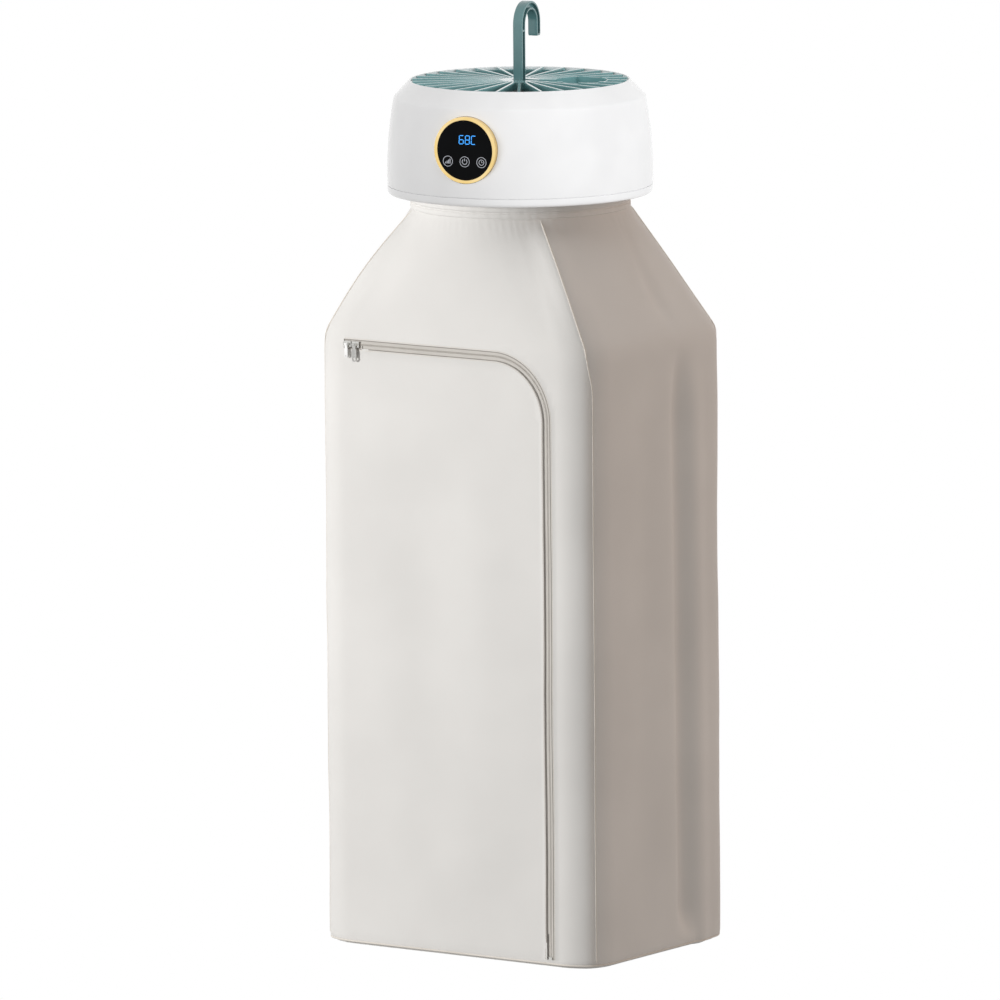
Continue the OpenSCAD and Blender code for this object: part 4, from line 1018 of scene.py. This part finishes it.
def grid(columns, rows):
    """Faces of (q, d) between these columns and rows, seen from outside."""
    return [((a, c), (a, e), (b, e), (b, c))
            for a, b in zip(columns[:-1], columns[1:]) for c, e in zip(rows[:-1], rows[1:])]


def thicken(piece, thickness):
    """Gives a sheet its thickness, on its inner side."""
    step = piece.modifiers.new("thickness", "SOLIDIFY")
    step.thickness, step.offset = thickness, -1
    step.use_even_offset = False
    return bake(piece)


def zip_offset(x, d):
    """How far a place on the front lies outside the zip's line; below zero is the door's side."""
    across, down = x - zip_x + zip_bend, d - zip_top - zip_bend
    if across > 0 and down < 0:
        return math.hypot(across, down) - zip_bend
    return max(zip_top - d, x - zip_x)


def fold_side(x, d):
    """How far a place on the front lies to the door's side of its fold line."""
    return (x - fold_high.x) * fold_way.y - (d - fold_high.y) * fold_way.x


def zip_line(offset, start=zip_start, end=zip_end, step=6.0):
    """Places along the zip at this offset, from its upper left start to its lower end."""
    centre = Vector((zip_x - zip_bend, zip_top + zip_bend))
    radius = zip_bend + offset
    bend = [math.pi / 2 * i / 24 for i in range(1, 24)]
    xs = np.linspace(start, centre.x, int((centre.x - start) / step) + 1)
    depths = np.linspace(centre.y, end, int((end - centre.y) / step) + 1)
    return [*[(x, zip_top - offset) for x in xs],
            *[(centre.x + radius * math.sin(a), centre.y - radius * math.cos(a)) for a in bend],
            *[(zip_x + offset, d) for d in depths]]


def hem_height(q, d):
    """The hems beside the zip stand a little higher than the cloth."""
    x = q - front_mid
    on_hem = abs(zip_offset(x, d)) < hem_in + 0.05 and abs(x) < half_flat - 0.5 and front_top < d < wall_end
    return hem_lift if on_hem else 0


even_columns = []
for run_index, (run_length, _) in enumerate(plan_runs):
    run_start = sum(length for length, _ in plan_runs[:run_index])
    even_columns += list(np.linspace(run_start, run_start + run_length, round(run_length / 5.2) + 1)[:-1])
even_columns.append(girth)
shoulder_rows = list(np.linspace(neck_depth, front_top, 31))
wall_rows = [*np.linspace(front_top, wall_end - 16, 62), wall_end - 10, wall_end - 5, wall_end]
tuck_rows = [wall_end + (base_depth - wall_end) * math.sin(math.pi / 2 * i / 4) for i in range(5)]
front_columns = [q for q in even_columns if abs(q - front_mid) < half_flat + 0.01]


def front_triangles():
    """The front's triangles, cut along the zip's hems and the door's fold, as the bag's and the door's."""
    spots, edges = [], []

    def chain(line, closed=False):
        first = len(spots)
        spots.extend(Vector(p) for p in line)
        edges.extend((first + i, first + i + 1) for i in range(len(line) - 1))
        if closed:
            edges.append((first + len(line) - 1, first))

    left, right = -half_flat, half_flat
    xs = [q - front_mid for q in front_columns]
    rim = [(x, front_top) for x in xs] + [(right, d) for d in wall_rows[1:]]
    rim += [(x, wall_end) for x in xs[-2::-1]] + [(left, d) for d in wall_rows[-2:0:-1]]
    chain(rim, closed=True)
    for offset in (-hem_out, -hem_in, hem_in, hem_out):
        chain(zip_line(offset))
    chain(zip_line(-zip_gap) + zip_line(zip_gap)[::-1], closed=True)
    start, end = [fold_high + fold_way * reach for reach in fold_span]
    chain([start + (end - start) * i / 100 for i in range(101)])
    for x in np.arange(left + 8, right - 4, fill_step_x):
        for d in np.arange(front_top + 8, wall_end - 5, fill_step_d):
            g = abs(zip_offset(x, d))
            off_hems = min(abs(g - o) for o in (zip_gap, hem_in, hem_out)) > hem_clear
            if off_hems and abs(fold_side(x, d)) > fold_clear:
                spots.append(Vector((x, d)))
    points, _, faces, *_ = geometry.delaunay_2d_cdt(spots, edges, [], 0, 1e-3)
    bag, door = [], []
    for face in faces:
        corners = [points[i] for i in face]
        middle = sum(corners, Vector((0, 0))) / 3
        if (corners[1] - corners[0]).cross(corners[2] - corners[0]) > 0:
            corners.reverse()
        g = zip_offset(*middle)
        if middle.x > zip_start and middle.y < zip_end and abs(g) < zip_gap:
            continue
        on_door = g < -zip_gap and fold_side(*middle) > 0 and middle.x > fold_high.x and middle.y < zip_end
        (door if on_door else bag).append(tuple((p.x + front_mid, p.y) for p in corners))
    return bag, door


def woven(name, low, high, pitch_mm, patch_mm, rough, height_mm, constants=None):
    """A plain weave on the UV map: threads pass over and under, the colour drifts in patches, and painted
    shade darkens the gaps between threads and lightens their tops.
    """
    made = finish_of(name, low, high, patch_mm, 2.5, rough, 0.05, 0.01, constants)
    tree = made.node_tree
    shader = tree.nodes["Principled BSDF"]
    flat = add(tree, "ShaderNodeUVMap", uv_map="UVMap")
    place = add(tree, "ShaderNodeSeparateXYZ", {0: flat}).outputs
    waves, rounds = [], []
    per_metre = 1000 / pitch_mm
    for way in (0, 1):
        phase = add(tree, "ShaderNodeMath", {0: place[way], 1: math.pi * per_metre}, operation="MULTIPLY")
        wave = add(tree, "ShaderNodeMath", {0: phase}, operation="SINE")
        waves.append(add(tree, "ShaderNodeMath", {0: wave}, operation="ABSOLUTE"))
        rounds.append(add(tree, "ShaderNodeMath", {0: waves[way], 1: thread_round}, operation="POWER"))
    over = add(tree, "ShaderNodeTexChecker", {"Vector": flat, "Scale": per_metre}).outputs["Fac"]
    warp, weft = [add(tree, "ShaderNodeMath", {0: rounds[way], 1: waves[1 - way]}, operation="MULTIPLY")
                  for way in (0, 1)]
    thread = add(tree, "ShaderNodeMix", {0: over, 2: warp, 3: weft}, data_type="FLOAT")
    bump = add(tree, "ShaderNodeBump", {"Height": thread, "Distance": height_mm * MM,
                                        "Strength": weave_strength})
    # Painted shade: the colour is darker in the gaps between threads and lighter on their tops.
    painted_weave_shade = add(tree, "ShaderNodeMath", {0: thread, 1: painted_thread_light, 2: painted_gap_shade}, operation="MULTIPLY_ADD")
    ramp = shader.inputs["Base Color"].links[0].from_socket
    tint = add(tree, "ShaderNodeVectorMath", {0: ramp, "Scale": painted_weave_shade}, operation="SCALE")
    fill(shader, {"Base Color": tint, "Normal": bump})
    return made


# Coated polyester oxford: off-white and matt, with a faint soft sheen at its edges. Its plain weave is
# drawn at 0.6 mm, coarser than the real cloth, so that it shows.
bag_cloth = woven("woven_coated_polyester", "#DFDDDA", "#E4E2DF", cloth_thread_mm, 160, 0.66, 0.06,
                  {"Sheen Weight": 0.1, "Sheen Roughness": 0.5, "Specular IOR Level": 0.2})
# Folded bias binding over a cord: a little darker and warmer than the bag's cloth, without its weave.
binding = finish_of("bias_bound_piping", "#D8D2C9", "#E0DAD2", 60, 0.7, 0.66, 0.06, 0.05,
                    {"Sheen Weight": 0.1})

bag_front_faces, door_faces = front_triangles()
bag_faces = grid(even_columns, shoulder_rows) + grid(even_columns, tuck_rows) + bag_front_faces
bag_faces += grid([q for q in even_columns if q < front_mid - half_flat + 0.01], wall_rows)
bag_faces += grid([q for q in even_columns if q > front_mid + half_flat - 0.01], wall_rows)
bag_body = thicken(cloth("bag_body", bag_faces, hem_height), cloth_t)
dress(bag_body, axis_place, bag_cloth, "head", "bag_fabric", "bag_shoulders", "bag_front", "bag_back",
      "bag_left", "bag_right", crease=50)


def bag_floor_piece():
    """The bag's base: cloth that spans the base wire's ring and sags a little."""
    shares = (1, 0.93, 0.8, 0.6, 0.38, 0.16)
    ring = [bag_place(q, base_depth) for q in even_columns[:-1]]
    points = [Vector((p.x * s, p.y * s, -base_depth - floor_sag * (1 - s * s)))
              for s in shares for p in ring]
    count = len(ring)
    faces = skin(len(shares), count)
    last = len(points) - count
    points.append(Vector((0, 0, -base_depth - floor_sag)))
    faces += [(last + i, last + (i + 1) % count, len(points) - 1) for i in range(count)]
    piece = new_piece("bag_floor", points, faces)
    return thicken(map_flat(piece, [points[i][:2] for face in faces for i in face]), cloth_t)


def neckband_piece():
    """The rolled band that grips the collar: a full roll, a crease, and a hemmed edge below it."""
    profile = rounded([(148, 158.6, 0), (152.6, 158.6, 2.5), (154.6, 162.5, 4), (154.2, 167.5, 3),
                       (151.8, 169.6, 1.2), (153.8, 171.6, 1.6), (154.0, 176.6, 1.4),
                       (152.2, 178.4, 0.8), (150.6, 178.4, 0)], 4)
    steps, count = 360, len(profile)
    points = []
    for angle in turns(steps):
        ripple = 0.14 * math.sin(angle * 61 + 2 * math.sin(angle * 7)) + 0.08 * math.sin(angle * 97)
        for r, d in profile:
            wide = r + ripple * smooth((r - 150) / 3)
            points.append((wide * math.cos(angle), wide * math.sin(angle), -d))
    faces = skin(steps, count, loop=True, open_by=1)
    piece = new_piece("bag_neckband", points, faces)
    flat = [(i // count * 2 * math.pi * neck_r / steps, i % count * 2) for face in faces for i in face]
    return thicken(map_flat(piece, flat), band_t)


bag_floor = dress(bag_floor_piece(), axis_place, bag_cloth, "head", "bag_fabric", "bag_base", crease=50)
neckband = dress(neckband_piece(), axis_place, bag_cloth, "head", "bag_fabric", "bag_collar", crease=60)


def cord_on_bag(name, line, radius, out=0.0, loop=False):
    """A round cord along a line of (q, d) on the cloth, narrow at its two ends."""
    spots = [bag_place(q, d, out) for q, d in line]
    sizes = [radius] * len(spots)
    if not loop:
        sizes[0] = sizes[-1] = radius * 0.35
    rings = []
    for place, here, along, size in zip(line, spots, ways_along(spots, loop), sizes):
        away = bag_normal(*place)
        away = (away - along * away.dot(along)).normalized()
        side = along.cross(away)
        rings.append([here + (away * math.sin(a) + side * math.cos(a)) * size for a in turns(cord_sides)])
    return tube(name, rings, loop, 0.0001)


ridge_depths = np.linspace(neck_depth + 3, shoulder_end + 8, 34)
seam_depths = np.linspace(shoulder_end + 4, base_depth - 4, 140)
cords = [cord_on_bag("shoulder_piping", [(mid, d) for d in ridge_depths], piping_r, 0.2)
         for mid in corner_mids]
for mid, away in zip(corner_mids, seam_drifts):
    seam = [(mid + away * smooth((d - shoulder_end) / 60), d) for d in seam_depths]
    cords.append(cord_on_bag("side_seam", seam, seam_r))
hem_line = [(q, base_depth - 3.4) for q in even_columns[:-1]]
cords.append(cord_on_bag("hem_piping", hem_line, hem_r, 0.3, loop=True))
piping = join("shoulder_piping", cords)
dress(piping, axis_place, binding, "head", "bag_fabric", crease=60)


def dress_door(piece, material, slot, *nodes, crease=32):
    """Dresses a piece of the door and bakes its place into its mesh."""
    dress(piece, axis_place, material, None, slot, *nodes, crease=crease)
    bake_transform(piece)
    return piece


door_cloth = thicken(cloth("door_cloth", door_faces, hem_height), cloth_t)
dress_door(door_cloth, bag_cloth, "bag_fabric", "door_flap", crease=50)

# ---- Zip: tapes, teeth, stops and stitches ----
# A nylon coil zip runs along the top edge, turns down and ends above the floor.
# Its tapes are sewn behind the hems, and a row of stitches shows on each side of it.
tape_in, tape_out, tape_t, tape_depth = 0.6, 10.2, 0.8, -cloth_t - 0.02
patch_x, patch_d, patch_w, patch_depth = -118, 1140, 11, -cloth_t - tape_t - 0.3
edge_in, edge_out, edge_lift = 5.5, 6.7, hem_lift + 0.25
tooth_pitch, tooth_size = 1.9, (1.25, 2.9, 1.3)
stitch_pitch, stitch_size, stitch_lift = 3.6, (2.6, 0.6, 0.4), hem_lift + 0.1
hem_middle = (zip_gap + hem_in) / 2 + 0.4

# Woven zip tape: a darker, browner cloth than the bag's, with a finer weave.
tape_cloth = woven("woven_zip_tape", "#C9C5BF", "#D0CCC6", 0.45, 60, 0.7, 0.05, {"Sheen Weight": 0.1})
# Folded grosgrain edge of the hems: a thin grey line that frames the tape, partly the binding's own colour
# and partly painted shade at the hems' edges.
grosgrain_and_hem_shade = finish_of("folded_grosgrain_edge_and_painted_shade", "#8E8882", "#98928B", 30, 0.5, 0.7, 0.06, 0.03)
# Nylon coil: smoother and darker than the tape, so that the row of teeth reads as a line.
coil_nylon = finish_of("wound_nylon_coil", "#C3BEB7", "#CCC7C0", 20, 0.8, 0.42, 0.06, 0.01)
# Sewing thread: spun polyester, off-white with a soft shine.
thread = finish_of("spun_polyester_thread", "#CFC8BC", "#DAD3C8", 8, 0.4, 0.6, 0.08, 0.02)
# Nickel-plated zinc: bright and slightly yellow grey.
nickel = finish_of("nickel_plated_zinc", "#C9C8C4", "#D6D5D1", 8, 1.2, 0.2, 0.05, 0.005, metal)
# White acetal of the parked pull: glossy, cool white.
white_pull = finish_of("moulded_white_acetal", "#EDEDEC", "#F3F3F2", 10, 1.5, 0.25, 0.04, 0.01)
# Nickel plate of the running pull: rubbed a little duller than its slider.
grey_pull = finish_of("nickel_plated_pull", "#B9B8B5", "#C6C5C2", 8, 1.0, 0.28, 0.05, 0.01, metal)


def strip(name, side, low, high, depth, keep=None):
    """A strip of tape on one side of the zip, between two offsets from its line."""
    inner, outer = [zip_line(side * offset) for offset in (low, high)]
    faces = []
    for i in range(min(len(inner), len(outer)) - 1):
        face = [inner[i], inner[i + 1], outer[i + 1], outer[i]]
        if keep and not all(keep(x, d) for x, d in face):
            continue
        face = [(x + front_mid, d) for x, d in face]
        area = sum(a[0] * b[1] - a[1] * b[0] for a, b in zip(face, [*face[1:], face[0]]))
        faces.append(tuple(face if area < 0 else face[::-1]))
    return thicken(cloth(name, faces, lambda q, d: depth), tape_t)


def on_door(x, d):
    return fold_side(x, d) > 2 and x > fold_high.x


def top_run_to(end):
    """Keeps what lies on the zip's top run before this place."""
    return lambda x, d: x < end and d < zip_top + 20


def beyond_patch(x, d):
    return d > patch_d


bag_tape = strip("bag_zip_tape", 1, tape_in, tape_out, tape_depth)
door_tape = strip("door_zip_tape", -1, tape_in, tape_out, tape_depth, on_door)
sewn_tape = strip("sewn_tape", -1, tape_in, tape_out, tape_depth, top_run_to(zip_sewn_end))
patches = [strip("patch", side, 0, patch_w, patch_depth, keep)
           for keep in (top_run_to(patch_x), beyond_patch) for side in (-1, 1)]
bag_tape = join("bag_zip_tape", [bag_tape, sewn_tape, *patches])
dress(bag_tape, axis_place, tape_cloth, "head", "zip_tape_cloth", "zip_tape")
dress_door(door_tape, tape_cloth, "zip_tape_cloth", "door_tape")

# Thin grey lines along the hems' edges, partly painted shade.
hem_edge = strip("bag_hem_edge", 1, edge_in, edge_out, edge_lift)
sewn_edge = strip("sewn_edge", -1, edge_in, edge_out, edge_lift, top_run_to(fold_high.x - 2))
hem_edge = dress(join("bag_hem_edge", [hem_edge, sewn_edge]), axis_place, grosgrain_and_hem_shade, "head", "bag_fabric")
door_hem_edge = strip("door_hem_edge", -1, edge_in, edge_out, edge_lift, on_door)
dress_door(door_hem_edge, grosgrain_and_hem_shade, "bag_fabric")


def make_along_seam():
    """A tree that sets copies of a small piece along the edges it is given, facing out of the cloth."""
    tree, given = new_tree("along_seam", {"Seam": "Geometry", "Piece": "Object", "Pitch": "Float",
                                          "Material": "Material"}, "Row")
    curve = add(tree, "GeometryNodeMeshToCurve", {"Mesh": given["Seam"]})
    even = add(tree, "GeometryNodeResampleCurve", {"Curve": curve, "Length": given["Pitch"]}, mode="LENGTH")
    away = add(tree, "GeometryNodeInputNamedAttribute", {"Name": "outward"}, data_type="FLOAT_VECTOR")
    along = add(tree, "FunctionNodeAlignRotationToVector", {"Vector": add(tree, "GeometryNodeInputTangent")},
                axis="X")
    facing = add(tree, "FunctionNodeAlignRotationToVector", {"Rotation": along, "Vector": away},
                 axis="Z", pivot_axis="X")
    shape = add(tree, "GeometryNodeObjectInfo", {"Object": given["Piece"]}).outputs["Geometry"]
    copies = add(tree, "GeometryNodeInstanceOnPoints", {"Points": even, "Instance": shape,
                                                        "Rotation": facing})
    return end_tree(tree, copies, given["Material"])


along_seam = make_along_seam()


def small_bar(size, soft):
    """A small bar with rounded edges, lying along X."""
    return soften(block("bar", [-side / 2 for side in size], [side / 2 for side in size]), soft)


def row_of(name, lines, small, pitch, material, out):
    """Copies of a small piece along lines of (x, d) on the front, standing out of the cloth by out."""
    points, edges, ways = [], [], []
    for line in lines:
        first = len(points)
        points += [bag_place(x + front_mid, d, out) for x, d in line]
        ways += [bag_normal(x + front_mid, d) for x, d in line]
        edges += [(first + i, first + i + 1) for i in range(len(line) - 1)]
    mesh = bpy.data.meshes.new(name)
    mesh.from_pydata([tuple(p) for p in points], edges, [])
    outward = mesh.attributes.new("outward", "FLOAT_VECTOR", "POINT")
    outward.data.foreach_set("vector", [v for way in ways for v in way])
    piece = run_tree(put(name, mesh), along_seam, {"Piece": small, "Pitch": pitch, "Material": material})
    bpy.data.objects.remove(small)
    return tidy_mesh(piece, 0.00001)


def stitches(name, lines):
    return row_of(name, lines, small_bar(stitch_size, 0.12), stitch_pitch, thread, stitch_lift)


def parts_of(line, keep):
    """The runs of a line whose points are all kept."""
    runs, run = [], []
    for x, d in line:
        if keep(x, d):
            run.append((x, d))
        else:
            runs.append(run)
            run = []
    return [r for r in [*runs, run] if len(r) > 2]


teeth = row_of("zip_teeth", [zip_line(0, zip_start + 6, zip_end - 4, 3)], small_bar(tooth_size, 0.3),
               tooth_pitch, coil_nylon, -cloth_t - 0.1)
dress(teeth, axis_place, coil_nylon, "head", "zip_teeth", "zip_coil")

outer_line, inner_line = [zip_line(side * hem_middle, zip_start + 2, zip_end - 2, 4) for side in (1, -1)]
beside_fold = parts_of(inner_line, lambda x, d: fold_side(x, d) < -2 or x < fold_high.x - 2)
stitches_bag = stitches("stitches_bag", [outer_line, *beside_fold])
stitches_door = stitches("stitches_door", parts_of(inner_line, on_door))
dress(stitches_bag, axis_place, thread, "head", "bag_fabric")
dress_door(stitches_door, thread, "bag_fabric")


def softened(node, name, width):
    """A copy of a CAD node with its edges rounded."""
    piece = put(name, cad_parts[node].data.copy())
    shape = bmesh.new()
    shape.from_mesh(piece.data)
    bmesh.ops.remove_doubles(shape, verts=shape.verts, dist=2e-6)
    bmesh.ops.dissolve_limit(shape, angle_limit=math.radians(2), verts=shape.verts, edges=shape.edges)
    bmesh.ops.recalc_face_normals(shape, faces=shape.faces)
    shape.to_mesh(piece.data)
    shape.free()
    return soften(piece, width * MM, 35)


def dress_metal(node, name, width, material, body, slot="zip_metal"):
    dress(softened(node, name, width), Matrix.Identity(4), material, body, slot, node)


dress_metal("zip_stops", "zip_end_stops", 0.2, nickel, "head")
dress_metal("zip_slider", "running_slider", 0.25, nickel, "slider")
dress_metal("parked_slider", "end_slider", 0.25, nickel, "head")
dress_metal("slider_pull", "running_pull", 0.3, grey_pull, "slider_pull")
dress_metal("parked_pull", "end_pull", 0.3, white_pull, "parked_pull", "pull_white")


# ---- Light groups ----
# Each pair of softboxes is flagged off the other half of the dryer, as black cards do in a studio.
# The bag's half is all that hangs below the head's base shell.
head_reach = 0.172


def light_only(lights, pieces, name):
    """Lets the lights fall on these pieces alone."""
    group = bpy.data.collections.new(name)
    for piece in pieces:
        group.objects.link(piece)
    for light in lights:
        light.light_linking.receiver_collection = group


def lowest(piece):
    return min((piece.matrix_world @ Vector(corner)).z for corner in piece.bound_box)


meshes = [o for o in bpy.context.scene.objects if o.type == "MESH" and o.name != "floor"]
lower_half = [o for o in meshes if lowest(o) < grille_z - head_reach]
light_only(bag_lights, lower_half, "lit_by_bag_lights")
light_only(head_lights, [o for o in meshes if o not in lower_half], "lit_by_head_lights")
